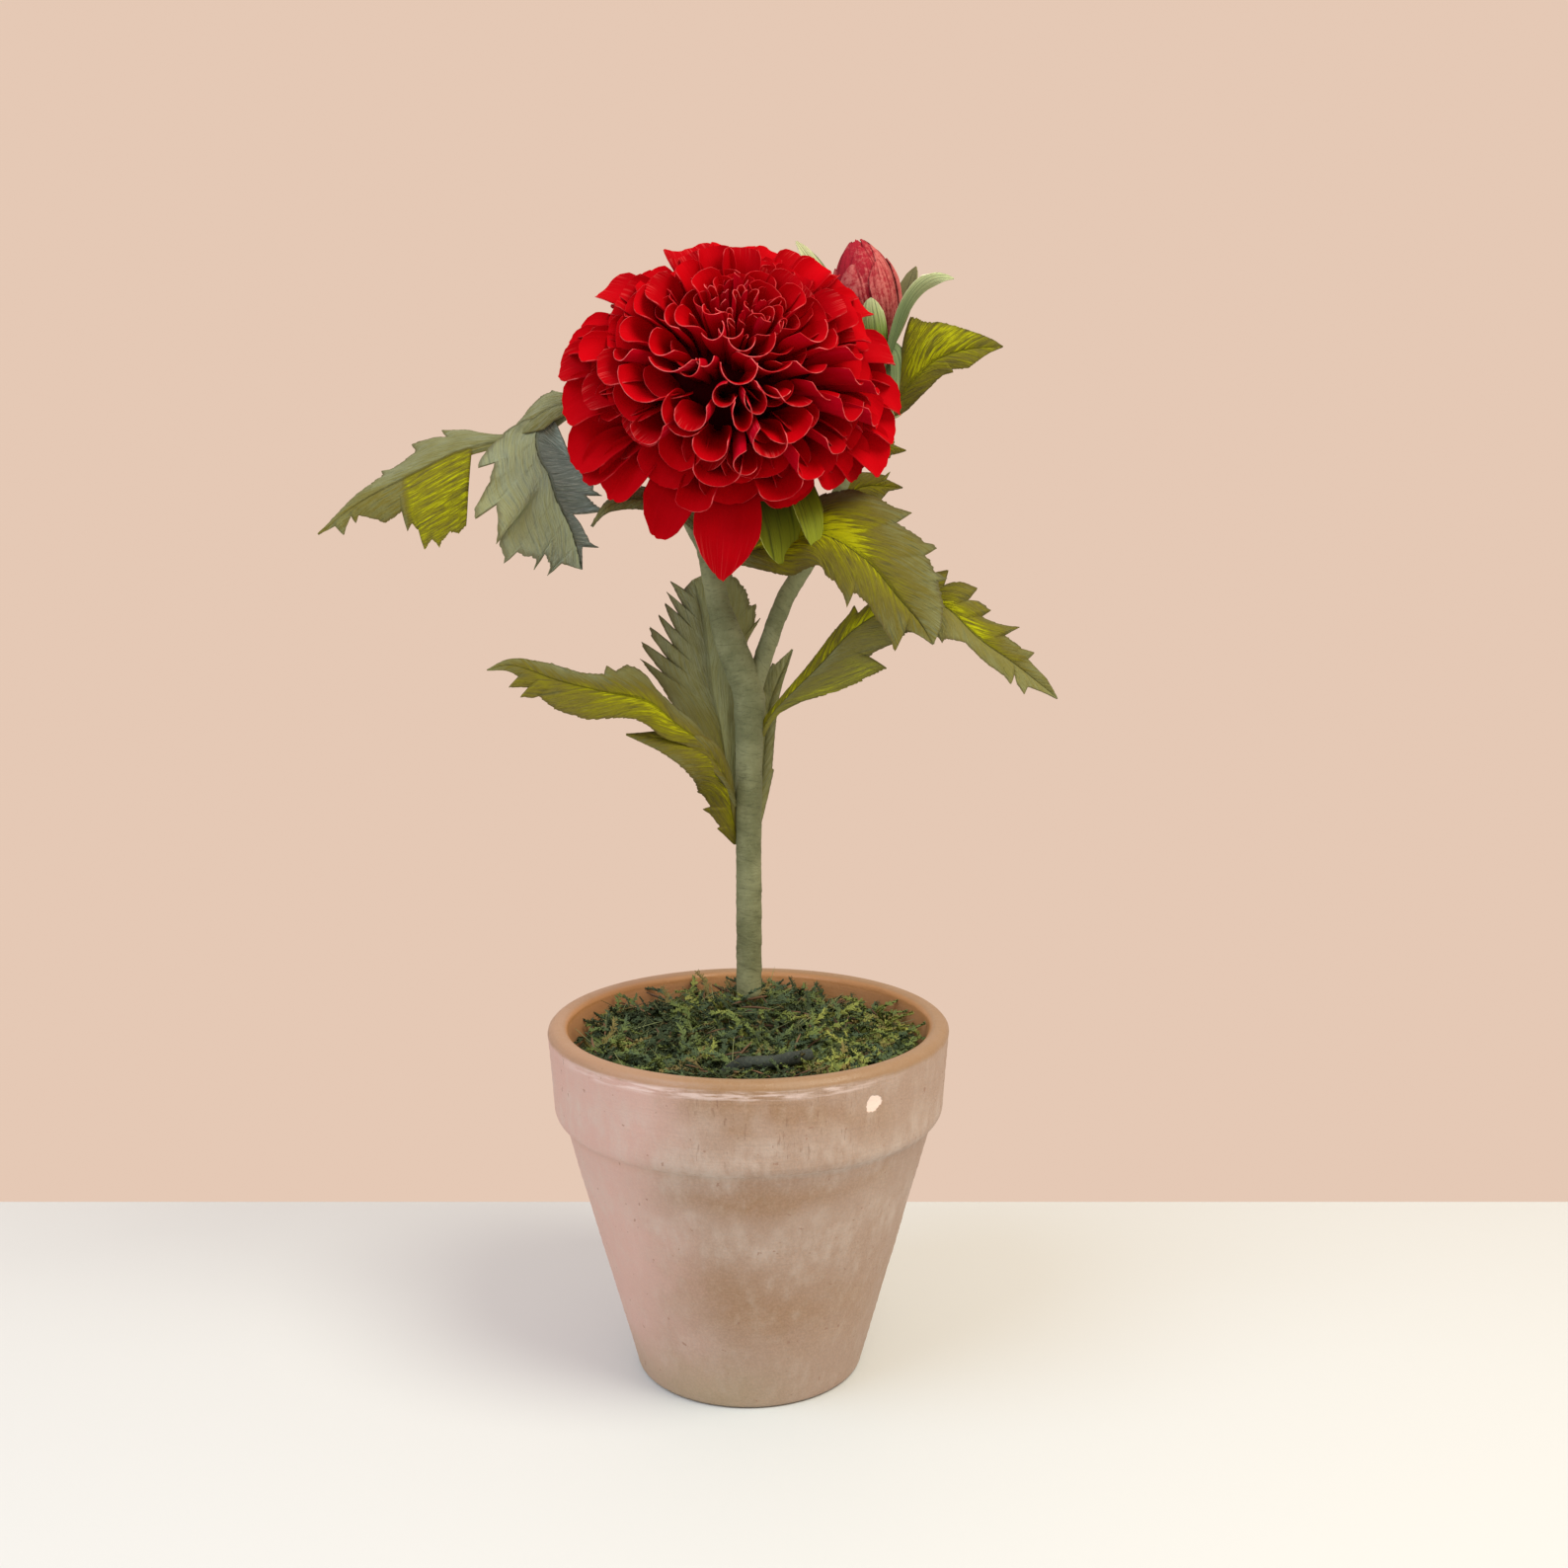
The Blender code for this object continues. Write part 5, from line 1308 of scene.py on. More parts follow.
sheath = {
    "rib": [(-44, 16, 266), (-52, 12, 264), (-58, 9, 260), (-65, 8, 255)],
    "near": ((0, -0.5, -1), (0, -0.5, -1), 20,
             [(0, 2), (0.2, 3.5), (0.56, 4.5), (0.75, 2)]),
    "far": ((0, 0.8, 0.6), (0, 0.8, 0.6), 20,
            [(0, 3), (0.12, 8.5), (0.4, 6.5), (0.72, 4)]),
    "tones": {"near": [(0, 0.1, 0.1), (1, 0.1, 0.15)], "far": [(0, 0.1, 0.1), (1, 0.05, 0.1)]},
    "ribLine": 0.0, "grainAngle": {"near": 10, "far": 10},
}
sprayStalk = {"route": [(-11.5, 9, 226), (-18, 14, 237), (-29, 20, 250), (-42, 22, 262),
                        (-49, 19, 263), (-53, 14.5, 259.5)],
              "radii": [1.8, 1.8, 1.7, 1.7, 1.6, 1.4]}
leafBelowBloom = {
    "rib": [(-10, 9, 226), (-14, 3, 233), (-20, -4, 238), (-28, -10, 240), (-35, -14, 238),
            (-39, -16, 233)],
    "near": ((0, -0.6, -1), (0, -0.6, -1), 25,
             [(0, 1.5), (0.3, 3), (0.55, 4), (0.6, 3), (0.8, 2)]),
    "far": ((0, 0.8, 0.5), (0, 0.8, 0.5), 25,
            [(0, 1.5), (0.3, 5), (0.55, 6), (0.6, 4.5), (0.8, 3)]),
    "tones": {"near": [(0, 0.35, 0.25), (1, 0.3, 0.2)], "far": [(0, 0.4, 0.3), (1, 0.3, 0.2)]},
    "dusk": {"near": 0.2, "far": 0.5},
}
bigLeaf = {
    "rib": [(-9, 8, 221), (-4, 3, 225), (9, -6, 228), (19, -13, 231), (30, -20, 225),
            (38, -24, 216), (44, -26, 209), (47, -26, 204)],
    "near": ((0, -0.5, -1), (-0.8, -0.3, -0.6), 30,
             [(0, 1.5), (0.10, 3.5), (0.22, 8), (0.28, 10.5), (0.42, 13), (0.55, 11),
              (0.63, 13.5), (0.64, 10), (0.72, 8.5), (0.80, 9), (0.87, 10.5), (0.88, 4.5)]),
    "far": ((0.3, 0.3, 1), (1, 0.2, 0.3), 30,
            [(0, 1.5), (0.10, 4), (0.16, 9), (0.22, 16), (0.38, 16.5), (0.46, 16), (0.55, 18.3),
             (0.56, 14.5), (0.67, 16.6), (0.68, 14), (0.76, 14), (0.77, 12.3), (0.87, 9),
             (0.94, 4.5)]),
    "flip": True,
    "tones": {"near": [(0, 0.3, 0.2), (0.2, 0.6, 0.4), (0.35, 1.1, 0.5), (0.6, 0.85, 0.45),
                       (1, 0.45, 0.35)],
              "far": [(0, 0.3, 0.2), (0.2, 1.0, 0.3), (0.32, 1.5, 0.3), (0.55, 1.5, 0.25),
                      (0.68, 0.6, 0.3), (1, 0.35, 0.25)]},
    "ribLine": 0.8, "spike": 1.3,
}
longLeaf = {
    "rib": [(3, 8, 176), (7, 6, 183), (19, -2, 196), (29, -9, 207), (40, -14, 213),
            (50, -18, 213), (59, -21, 205), (69, -23, 198), (79, -24, 190)],
    "near": ((0.8, -0.4, -0.4), (-0.3, -0.5, -0.8), 30,
             [(0, 1.2), (0.08, 1.5), (0.14, 4), (0.22, 10), (0.34, 16), (0.35, 10), (0.44, 11.5),
              (0.50, 10), (0.62, 12), (0.73, 4.5), (0.82, 5), (0.86, 5.5), (0.87, 2.5),
              (0.90, 5.5), (0.91, 3.5), (0.95, 2)]),
    "far": ((-0.6, 0.3, 0.8), (0.4, 0.5, 0.8), 30,
            [(0, 1.2), (0.08, 1.5), (0.17, 2.5), (0.28, 4), (0.40, 6), (0.41, 4), (0.50, 5.5),
             (0.60, 9.5), (0.61, 6), (0.65, 9), (0.66, 6), (0.69, 8.5), (0.70, 6), (0.77, 10),
             (0.78, 6), (0.86, 6), (0.87, 4), (0.94, 2.5)]),
    "flip": True, "lift": {"near": 0.11, "far": 0.0},
    "tones": {"near": [(0, 0.7, 0.7), (0.14, 0.3, 0.75), (0.32, 0.2, 0.8), (0.36, 0.5, 0.4),
                       (0.5, 0.7, 0.35), (1, 0.35, 0.3)],
              "far": [(0, 0.7, 0.7), (0.3, 0.8, 0.7), (0.5, 1.2, 0.5), (0.75, 1.0, 0.4),
                      (0.9, 0.4, 0.3), (1, 0.3, 0.3)]},
}
middleLeaf = {
    "rib": [(-3, 7, 157), (-5, 3, 163), (-8, -3, 169), (-12, -7, 176), (-18, -11, 181),
            (-26, -15, 188), (-37, -18, 191), (-48, -20, 194), (-59, -21, 198),
            (-66, -21, 197)],
    "near": ((-0.3, -0.5, -0.8), (0, -0.5, -0.85), 30,
             [(0, 1.5), (0.2, 3), (0.33, 4), (0.40, 6.5), (0.47, 7.5), (0.57, 8), (0.65, 9.5),
              (0.72, 9), (0.79, 6.5), (0.82, 8), (0.83, 5), (0.87, 6.5), (0.88, 3), (0.94, 1.5)]),
    "far": ((-0.5, 0.4, 0.8), (0, 0.5, 0.85), 30,
            [(0, 1.5), (0.2, 5), (0.32, 7.5), (0.45, 7.5), (0.49, 9.5), (0.54, 10),
             (0.60, 8), (0.62, 6), (0.70, 4.5), (0.79, 5), (0.92, 2)]),
    "tones": {"near": [(0, 0.35, 0.3), (0.3, 0.7, 0.4), (0.45, 1.05, 0.55), (0.7, 0.75, 0.5),
                       (1, 0.4, 0.35)],
              "far": [(0, 0.4, 0.3), (0.3, 0.55, 0.25), (0.6, 0.75, 0.2), (1, 0.5, 0.3)]},
    "ribLine": 0.2,
}
lowLeaf = {
    "rib": [(-3, 8, 146), (-5, 5, 157), (-6, 1, 165), (-9, -4, 171), (-14, -9, 175),
            (-21, -13, 178), (-31, -17, 180)],
    "near": ((-0.9, -0.4, -0.2), (0, -0.5, -0.85), 20,
             [(0, 1.2), (0.09, 5.5), (0.10, 4.5), (0.20, 7.5), (0.21, 6), (0.34, 10), (0.58, 8),
              (0.75, 5), (0.90, 2)]),
    "far": ((0.5, 0.5, 0.5), (0, 0.5, 0.85), 20,
            [(0, 1.2), (0.25, 3.5), (0.45, 4), (0.61, 4.5), (0.85, 2)]),
    "tones": {"near": [(0, 0.6, 0.4), (0.35, 1.0, 0.5), (0.7, 0.7, 0.35), (1, 0.4, 0.2)],
              "far": [(0, 0.4, 0.3), (0.5, 0.6, 0.4), (1, 0.4, 0.2)]},
    "ribLine": 0.2,
}
spikyLeaf = {
    "rib": [(-3, 9, 156), (-6, 10, 167), (-8, 12, 178), (-11, 14, 189), (-12, 15, 198),
            (-13, 16, 208), (-15, 16, 218)],
    "near": ((-1, -0.2, 0), (-1, -0.2, 0), 50,
             [(0, 2), (0.20, 10), (0.27, 20), (0.34, 23), (0.43, 24.5), (0.44, 16.5),
              (0.51, 23), (0.52, 14), (0.57, 21), (0.58, 12.5), (0.64, 18.5), (0.65, 11.5),
              (0.73, 15), (0.74, 9.5), (0.80, 13), (0.81, 7), (0.90, 9.5), (0.91, 5)]),
    "far": ((1, 0.3, 0), (1, 0.3, 0), 40,
            [(0, 2), (0.2, 4), (0.33, 6.5), (0.45, 13), (0.58, 22), (0.59, 19.5), (0.67, 20.5),
             (0.68, 18.5), (0.79, 16.5), (0.88, 13), (0.95, 7)]),
    "tones": {"near": [(0, 0.6, 0.45), (0.3, 0.5, 0.3), (0.5, 0.15, 0.15), (1, 0.0, 0.05)],
              "far": [(0, 0.3, 0.25), (1, 0.1, 0.15)]},
    "dusk": {"near": 0.5, "far": 0.0}, "ribLine": 0.1, "spike": 0.4,
    "lift": {"near": 0.12, "far": 0.25},
    "grainAngle": {"near": 12, "far": 12},
}
slimLeaf = {
    "rib": [(2, 9, 150), (4, 13, 167), (6, 15.5, 184), (12, 17, 199)],
    "near": ((1, 0, 0), (1, 0, 0), 20,
             [(0, 1.2), (0.19, 2.5), (0.31, 3.2), (0.32, 2.6), (0.62, 2.5), (0.87, 1)]),
    "far": ((-1, 0.3, 0), (-1, 0.3, 0), 30,
            [(0, 1.2), (0.21, 3), (0.5, 5), (0.7, 7), (0.71, 5), (0.85, 4), (0.86, 3)]),
    "flip": True,
    "tones": {"near": [(0, 0.15, 0.15), (1, 0.2, 0.1)], "far": [(0, 0.15, 0.1), (1, 0.15, 0.1)]},
    "ribLine": 0.1, "teeth": 0.2, "lift": {"near": 0.15, "far": 0.15},
}
budLeaf = {
    "rib": [(34, 28.5, 262), (40.5, 25, 266.5), (45.5, 22, 272), (51, 19.5, 277),
            (59, 16.5, 279.5), (68, 13, 280)],
    "near": ((0.6, -0.3, -1), (0, -0.3, -1), 20,
             [(0, 1.2), (0.17, 4), (0.33, 5), (0.45, 5), (0.60, 5.5), (0.61, 4.5), (0.72, 5.5),
              (0.80, 4), (0.91, 1.5)]),
    "far": ((0, 0.1, 1), (0, 0.3, 1), 40,
            [(0, 3), (0.06, 9), (0.17, 13.5), (0.26, 17), (0.33, 19), (0.42, 15), (0.50, 12),
             (0.60, 9), (0.75, 5.5), (0.91, 2.4)]),
    "flip": True,
    "tones": {"near": [(0, 0.4, 0.35), (0.5, 0.8, 0.55), (1, 0.7, 0.6)],
              "far": [(0, 0.1, 0.0), (0.2, 0.4, 0.1), (0.35, 0.8, 0.8), (0.6, 1.0, 0.9),
                      (1, 0.6, 0.45)]},
    "ribLine": 0.15, "teeth": 0.15,
}
highTipLeaf = {
    "rib": [(28, 27, 250), (34, 25, 254), (43, 21, 253)],
    "near": ((0, -0.5, -1), (0, -0.5, -1), 25, [(0, 1.2), (0.4, 4), (0.7, 3), (0.72, 2)]),
    "far": ((0, 0.5, 1), (0, 0.5, 1), 25, [(0, 1.2), (0.4, 4), (0.7, 2.5), (0.72, 1.5)]),
    "flip": True,
}
lowTipLeaf = {
    "rib": [(23, 23, 237), (31, 22, 243), (42, 18, 243)],
    "near": ((0, -0.5, -1), (0, -0.5, -1), 25, [(0, 1.2), (0.3, 4), (0.65, 5), (0.8, 1.5)]),
    "far": ((0, 0.5, 1), (0, 0.5, 1), 25, [(0, 1.2), (0.4, 5), (0.7, 4), (0.72, 2.5)]),
    "flip": True,
}


def spiked(table, spike):
    # every tooth ends in a thin point
    result = []
    for (at, width), (following, after) in zip(table, table[1:]):
        if width - after > 1.4 and following - at < 0.035:
            result.append((at - sheet["spikeLength"], width - 0.4))
            result.append((at, width + spike))
        else:
            result.append((at, width))
    result.append(table[-1])
    return sorted(result)


def leafSide(leaf, name, along, reach, forward, table, seed):
    # which way one half runs here, how wide it is, and how yellow at the rib and the edge
    baseWay, tipWay, lean, _ = leaf[name]
    sign = 1 if name == "near" else -1
    out = Vector(baseWay).lerp(Vector(tipWay), along)
    out = (out - forward * out.dot(forward)).normalized()
    up = forward.cross(out) if name == "near" else out.cross(forward)
    slant = (math.cos(math.radians(lean)), math.sin(math.radians(lean)))
    way = slant[0] * out + slant[1] * forward
    width = between(table, along)
    jag = noise.noise((reach / sheet["jagPitch"], sign * 9.0, seed)) * sheet["jag"]
    phase = (reach / sheet["toothPitch"] + sign * 0.3
             + 0.9 * noise.noise((reach / 5, sign * 3.0, seed)))
    saw = (phase % 1 - 0.5) * leaf["teeth"] * min(max(width - 2, 0) / 6, 1)
    greens = [between([(entry[0], entry[end]) for entry in leaf["tones"][name]], along)
              for end in (1, 2)]
    return way, up, width * (1 + jag) + saw, greens, slant


def leafPoint(leaf, name, side, middle, reach, share, seed):
    way, up, width, greens, slant = side
    sign = 1 if name == "near" else -1
    spot = middle + way * width * share
    bend = sheet["bow"] * math.sin(math.pi * share ** 0.8) * min(width / 9, 1)
    lengthwise = reach + share * width * slant[1]
    sideways = share * width * slant[0]
    angle = math.radians(leaf["grainAngle"][name])
    withGrain = lengthwise * math.cos(angle) + sideways * math.sin(angle)
    overGrain = sideways * math.cos(angle) - lengthwise * math.sin(angle)
    crimp = noise.noise((overGrain / sheet["grainPitch"], sign * 5 + withGrain * 0.08,
                         seed)) * leaf["grain"] * min(share * 4, 1)
    wave = noise.noise(spot / sheet["waveSize"] + Vector((seed, 0, 0))) * sheet["wave"]
    if leaf["flip"]:
        bend = -bend
    warm = greens[1] + (greens[0] - greens[1]) * (1 - share) ** 1.5
    return spot + up * (bend + crimp + wave * share), (
        withGrain + sign * 40, overGrain, sign * share * width, share, warm,
        leaf["dusk"][name], leaf["ribLine"], leaf["lift"][name])


def leafSheet(leaf, seed):
    # one cut leaf: rows along its rib, columns from the far edge over the rib to the near one
    leaf = {**usualLeaf, **leaf}
    rib = evenPath(leaf["rib"], 160)
    length = sum((after - before).length for before, after in zip(rib, rib[1:]))
    steps = round(length / sheet["rowStep"])
    tables = {name: spiked(leaf[name][3] + [(1.0, 0.15)], leaf["spike"])
              for name in ("near", "far")}
    places = sorted({round(step / steps, 5) for step in range(steps + 1)}
                    | {entry for name in tables for entry, _ in tables[name]})
    columns = sheet["columns"]
    points = []
    values = {key: [] for key in leafValues}
    for along in places:
        middle = onPath(rib, along)
        forward = heading(rib, along)
        reach = along * length
        sides = {name: leafSide(leaf, name, along, reach, forward, tables[name], seed)
                 for name in ("near", "far")}
        for column in range(-columns, columns + 1):
            name = "near" if column >= 0 else "far"
            point, measures = leafPoint(leaf, name, sides[name], middle, reach,
                                        abs(column) / columns, seed)
            points.append(point)
            for key, measure in zip(leafValues, measures):
                values[key].append(measure)
    wide = 2 * columns + 1
    faces = []
    for row in range(len(places) - 1):
        for column in range(wide - 1):
            a = row * wide + column
            face = (a, a + wide, a + wide + 1, a + 1)
            faces.append(tuple(reversed(face)) if leaf["flip"] else face)
    return points, faces, values


def makeLeaf(name, leaves, materials):
    points, faces, values = [], [], {}
    for index, leaf in enumerate(leaves):
        start = len(points)
        newPoints, newFaces, newValues = leafSheet(leaf, 3.7 * index + len(name) * 0.37)
        points += newPoints
        faces += [tuple(start + corner for corner in face) for face in newFaces]
        for key, data in newValues.items():
            values.setdefault(key, []).extend(data)
    return giveThickness(makeThing(name, points, faces, values=values), sheet["thickness"],
                         materials)


def leafFinish(name, greyer):
    def build(graph):
        along, across, spread, share, warm, dusk, ribLine, lift = graph.attributes(*leafValues)
        grain = graph.noise(graph.join(across * 1.7, along * 0.10), 1.0, 5.0, 0.68)
        fine = graph.noise(graph.join(across * 5.0, along * 0.25), 1.0, 3.0, 0.65)
        cloud = graph.noise(graph.objectPlace(), 75.0, 4.0, 0.6)
        bright = graph.ramp(warm, 0.45, 0.95)
        warmth = warm - greyer + (cloud - 0.5) * 0.6 + (grain - 0.5) * (bright * 1.3 + 1.1)
        warmth = warmth + (fine - 0.5) * bright * 1.1
        dyes = sheet["dyes"]
        dyed = [(graph.ramp(warmth, start, end, soft=False), dye)
                for (start, _), (end, dye) in zip(dyes, dyes[1:])]
        frost = graph.ramp(warm, 0.25, -0.1) * graph.ramp(fine, 0.50, 0.66)
        margin = graph.ramp(share + (fine - 0.5) * 0.25, 0.86, 1.0)
        broken = graph.ramp(graph.noise(graph.join(along * 0.5, 3.0), 1.0, 2.0), 0.35, 0.55)
        rib = graph.ramp(spread.size() + (fine - 0.5) * 0.3, 0.32, 0.08) * ribLine * broken
        # the crease coats darken the crepe's hollows: painted shade
        colour = graph.paint(
            tint(dyes[0][1]), *dyed, (graph.ramp(grain, 0.47, 0.30) * 0.6, sheet["creaseShade"]),
            (graph.ramp(fine, 0.42, 0.28) * 0.35, sheet["fineCreaseShade"]),
            (graph.ramp(fine, 0.58, 0.75) * 0.2, sheet["fibre"]), (frost * 0.6, sheet["frost"]),
            # lift: painted light on halves that lie in shade
            (lift, sheet["lift"]),
            (dusk * share * share + (cloud - 0.5) * 0.6 * dusk, sheet["dusk"]),
            (margin * 0.55, sheet["margin"]), (rib, sheet["rib"]))
        return {"Base Color": colour, "Height": (grain * 0.6 + fine * 0.4, 0.0008)}
    return finish(name, build, Roughness=0.7, Specular_IOR_Level=0.12)


def makeLeaves():
    greens = [leafFinish("leafTop", 0.0), leafFinish("leafBack", 0.25),
              leafFinish("leafEdge", 0.15)]
    for name, leaves, node in (
            ("leafSprayUpperLeft", [sheath, bigLeaflet, farLeaflet], "leaf_spray_upper_left"),
            ("leafPairLeft", [middleLeaf, lowLeaf], "leaf_pair_left"),
            ("leafSpikyLeft", [spikyLeaf], "leaf_spiky_left"),
            ("leafBelowBloom", [leafBelowBloom], "leaf_below_bloom"),
            ("leafBigRight", [bigLeaf], "leaf_big_right"),
            ("leafLongRight", [longLeaf], "leaf_long_right"),
            ("leafSlimRight", [slimLeaf], "leaf_slim_right"),
            ("leafBesideBud", [budLeaf], "leaf_beside_bud"),
            ("leafTipHigh", [highTipLeaf], "leaf_tip_high"),
            ("leafTipLow", [lowTipLeaf], "leaf_tip_low")):
        place(makeLeaf(name, leaves, greens), "leaf_paper", node)
    twig = wrapRoutes("sprayStalk", wrap, [(sprayStalk["route"], sprayStalk["radii"])],
                      stemPaper)
    place(twig, "leaf_paper")


makeLeaves()
print("leaves made")


# the calyx, the bud and its sepals

calyx = {
    "profile": [(-24, 4.7), (-21.5, 6.2), (-17, 9.5), (-14, 11.5), (-11, 10)],
    "middle": -19.5, "widths": [12.5, 8.0, 9.0, 9.0, 9.0],
    "bracts": [[(-0.5, 0.5, 251.5), (5, -5, 242), (8.2, -9, 232), (9, -10.5, 223.5)],
               [(3, 1.5, 254.5), (10, -5, 247), (15.5, -11.5, 239), (17.5, -15.5, 228)],
               [(-15, 7, 253), (-21, 9, 246), (-25, 9, 240)],
               [(-8, 16, 263), (-9, 24, 264), (-10, 31, 268)],
               [(3, 12, 260), (9, 18, 258), (14, 23, 261)]],
    "segments": 60, "folds": 15, "foldDepth": 0.03, "seed": 3, "grid": (24, 13, 1.0),
    # face, back and rim: pale end, body, streaks and how dark the foot is
    "greens": [("869618", "5e6e0a", "34420a", 0.75), ("96a82c", "6c7e1a", "3a4a12", 0.75),
               ("b0bc58", "86963c", "4e5c24", 0.5)],
    "footShade": "161c06",
}
bud = {
    "base": Vector((36.4, 31, 277)), "top": Vector((29.2, 28, 310)), "radius": 8.3,
    "swell": (1.15, 0.62), "coreRadius": 6.8, "twist": 0.12, "cup": (4.6, 4.0, 4.7),
    # rows: how many, how high, shift round, width, how far out
    "rows": [(6, 0.80, 0.1, 10.6, 0.9), (6, 0.93, 0.6, 9.0, 0.2), (6, 0.98, 0.35, 8.0, -0.6)],
    "sepals": [([(36, 24.8, 277), (34.4, 20, 283), (33.6, 17.6, 288), (33.4, 18.4, 292),
                 (32.9, 17.2, 293.2)], 7.0),
               ([(37.5, 25.5, 274), (39, 20.5, 281), (42, 18.5, 289), (45.5, 18.5, 296),
                 (49.5, 18, 298.5), (55, 17, 298)], 5.0),
               ([(39, 34.5, 279), (41.5, 38.5, 288), (44.5, 40, 297), (46.5, 40, 304)], 7.5),
               ([(33, 37.5, 280), (27, 41, 290), (20, 42, 301), (13, 41, 311)], 6.5),
               ([(38.5, 38.5, 279), (38, 42.5, 287), (37, 45, 296), (36, 47, 303)], 5.5),
               ([(39.5, 26, 281), (42, 24.3, 276), (41.8, 24.6, 269), (39.5, 26, 262)], 7.0)],
    # the first sepal is the freshest green, the second a duller one, and the third is brown
    "sepalTones": {0: 1.0, 1: 0.4}, "brownSepal": 2,
    "seed": 5, "segments": 40, "grid": (24, 13, 0.9), "sepalGrid": (32, 11, 0.8),
    # the crease colour is painted shade in the crepe's hollows
    "heart": "7a1c26", "paper": "9c2030", "chalk": "c2716c", "creaseShade": "701620",
    "shadow": "3c060c",
    # face, back and rim: pale end, body, streaks, how dark the foot is, and the freshest body
    "greens": [("c9d2a4", "6c8450", "3a4e30", 0.0, "6c8c2c"),
               ("b7c490", "6c8256", "3a4e34", 0.0, "6c8c2c"),
               ("dde0bc", "93a276", "56683f", 0.0, "a4b464")],
    "browns": [("7a7a50", "66683e", "3c4028")] * 3,
}


def bractFinish(name, heart, body, streak, shade=0.0, fresh=None):
    def build(graph):
        along, across, tone = graph.attributes("along", "across", "tone")
        lengthwise = graph.noise(graph.join(across * 6.0, along * 0.9, tone * 60.0), 1.0, 4.0,
                                 0.65)
        colour = graph.paint(
            tint(body), (graph.ramp(tone, 0.85, 0.95), fresh or body),
            (graph.ramp(along, 0.55, 1.0), heart),
            (graph.ramp(lengthwise, 0.56, 0.72) * 0.5, heart),
            (graph.ramp(lengthwise, 0.48, 0.34) * 0.7, streak),
            (graph.ramp(along, 0.85, 0.5) * shade, calyx["footShade"]))
        return {"Base Color": colour, "Height": (lengthwise, 0.0004)}
    return finish(name, build, Roughness=0.62, Specular_IOR_Level=0.3)


def greenPapers(name, dyes):
    return [bractFinish(name + side, *codes)
            for side, codes in zip(("Face", "Back", "Rim"), dyes)]


def makeCalyx():
    greens = greenPapers("bract", calyx["greens"])
    points = []
    segments = calyx["segments"]
    profile = evenProfile(calyx["profile"], 0.8)
    for at, radius in profile:
        for segment in range(segments):
            turn = 2 * math.pi * segment / segments
            out = flowerDirection(math.pi / 2, turn)
            fold = 1 + calyx["foldDepth"] * math.sin(turn * calyx["folds"] + at)
            points.append(bloom["centre"] + bloom["axis"] * at + out * radius * fold)
    faces = ringFaces(len(profile), segments)
    faces += [tuple(reversed(range(segments))),
              tuple(range(len(points) - segments, len(points)))]
    cup = makeThing("bloomCup", points, faces, [greens[0]],
                    values={"along": [0.5] * len(points), "across": [0.0] * len(points)})
    place(cup, "leaf_paper", "bloom_calyx")
    start = bloom["centre"] + bloom["axis"] * calyx["middle"]
    rng = random.Random(calyx["seed"])
    bracts = [routePetal([start] + route, bloom["axis"], width=width, roll=32, tipShare=0.6,
                         tone=rng.random(), rounding=0.22, ruffle=0.8)
              for route, width in zip(calyx["bracts"], calyx["widths"])]
    place(growPetals("bloomBracts", bracts, calyx["grid"], sheet["thickness"], greens),
          "leaf_paper")


def budPoint(at, turn, extra):
    axis = bud["top"] - bud["base"]
    along = axis.normalized()
    side = along.cross(Vector((0, 1, 0))).normalized()
    other = along.cross(side)
    swell = math.sin(math.pi * at ** bud["swell"][0]) ** bud["swell"][1]
    radius = (bud["radius"] + extra) * swell
    return bud["base"] + axis * at + radius * (side * math.cos(turn) + other * math.sin(turn))


def budFinish(name, darker):
    # crimson paper under a chalky dusty rose
    def build(graph):
        along, across, tone = graph.attributes("along", "across", "tone")
        grain = graph.noise(graph.join(across * 7.0, along * 1.6, tone * 60.0), 1.0, 5.0, 0.7)
        chalk = graph.noise(graph.millimetres(), 0.8, 6.0, 0.75)
        dusted = graph.ramp(chalk + (tone - 0.5) * 0.4 + (grain - 0.5) * 0.5, 0.44, 0.74)
        # the crease coat darkens the crepe's hollows: painted shade
        colour = graph.paint(
            tint(bud["heart"]), (graph.ramp(along, 0.1, 0.9), bud["paper"]),
            (dusted * 0.8, bud["chalk"]), (graph.ramp(grain, 0.50, 0.36) * 0.8, bud["creaseShade"]),
            (darker, bud["shadow"]))
        return {"Base Color": colour, "Height": (chalk * 0.5 + grain * 0.5, 0.0004)}
    return finish(name, build, Roughness=0.85, Specular_IOR_Level=0.1)


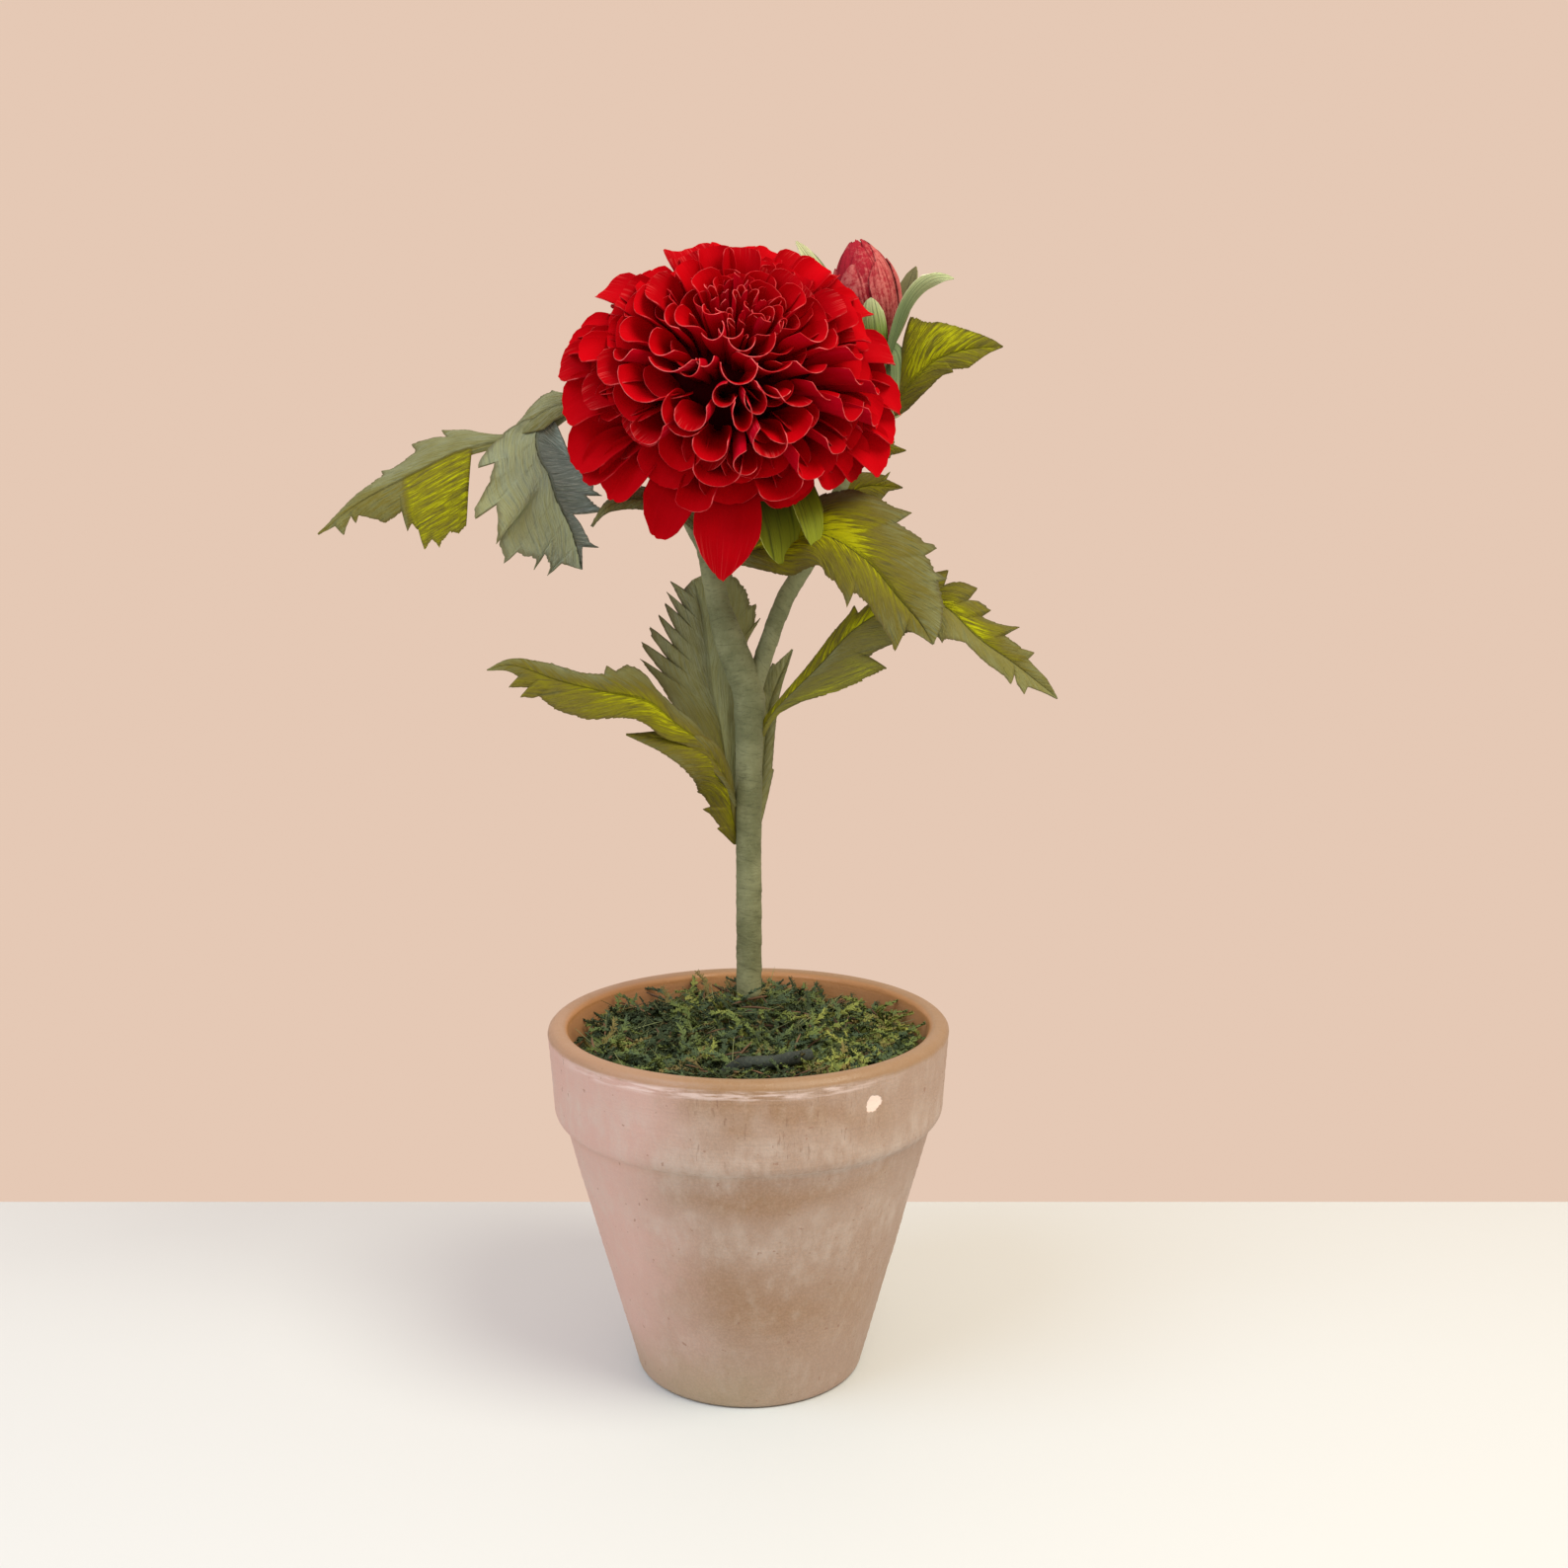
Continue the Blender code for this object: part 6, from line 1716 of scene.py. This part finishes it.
def makeBudPetals(rng):
    axis = bud["top"] - bud["base"]
    along = axis.normalized()
    petals = []
    for count, top, shift, width, lift in bud["rows"]:
        for index in range(count):
            turn = 2 * math.pi * (index + shift) / count
            route = [budPoint(0.12 + (top - 0.12) * step / 4, turn, lift) for step in range(5)]
            fromAxis = route[2] - bud["base"]
            fromAxis -= along * fromAxis.dot(along)
            inward = fromAxis.cross(along) * bud["twist"] - fromAxis
            petals.append(routePetal(route, inward, width=width, roll=50, tipShare=0.2,
                                     tone=rng.random(), foot=0.45, rounding=0.2, ruffle=0.7,
                                     ragged=1.6, flare=0.1))
    dusty, shade, lip = [budFinish(name, darker) for name, darker in (
        ("budOutside", 0.0), ("budInside", 0.45), ("budRim", 0.15))]
    place(growPetals("budPetals", petals, bud["grid"], sheet["thickness"],
                     [shade, dusty, lip]), "bud_paper", "bud_petals")
    core = eggShape("budCore", bud["base"] + axis * 0.46, along, bud["coreRadius"],
                    axis.length * 0.5, axis.length * 0.42, bud["segments"], 24, [shade], 0.06)
    place(core, "bud_paper")


def makeBudSepals(rng):
    along = (bud["top"] - bud["base"]).normalized()
    radius, top, bottom = bud["cup"]
    greens = greenPapers("sepal", bud["greens"])
    cup = eggShape("budCup", bud["base"], along, radius, top, bottom, bud["segments"], 16,
                   [greens[0]], 0.08)
    place(cup, "leaf_paper", "bud_sepals")
    sepals = []
    for route, width in bud["sepals"]:
        middle = Vector(route[len(route) // 2]) - bud["base"]
        inward = along * middle.dot(along) - middle
        sepals.append(routePetal([bud["base"]] + route, inward, width=width, roll=30,
                                 tipShare=0.3, tone=rng.random(), foot=0.4, rounding=0.2,
                                 ruffle=0.6))
    for index, tone in bud["sepalTones"].items():
        sepals[index]["tone"] = tone
    brown = [sepals.pop(bud["brownSepal"])]
    for name, petals, papers in (
            ("budSepals", sepals, greens),
            ("budSepalFar", brown, greenPapers("farSepal", bud["browns"]))):
        place(growPetals(name, petals, bud["sepalGrid"], sheet["thickness"], papers),
              "leaf_paper")


makeCalyx()
budRandom = random.Random(bud["seed"])
makeBudPetals(budRandom)
makeBudSepals(budRandom)
print("bud and calyx made")
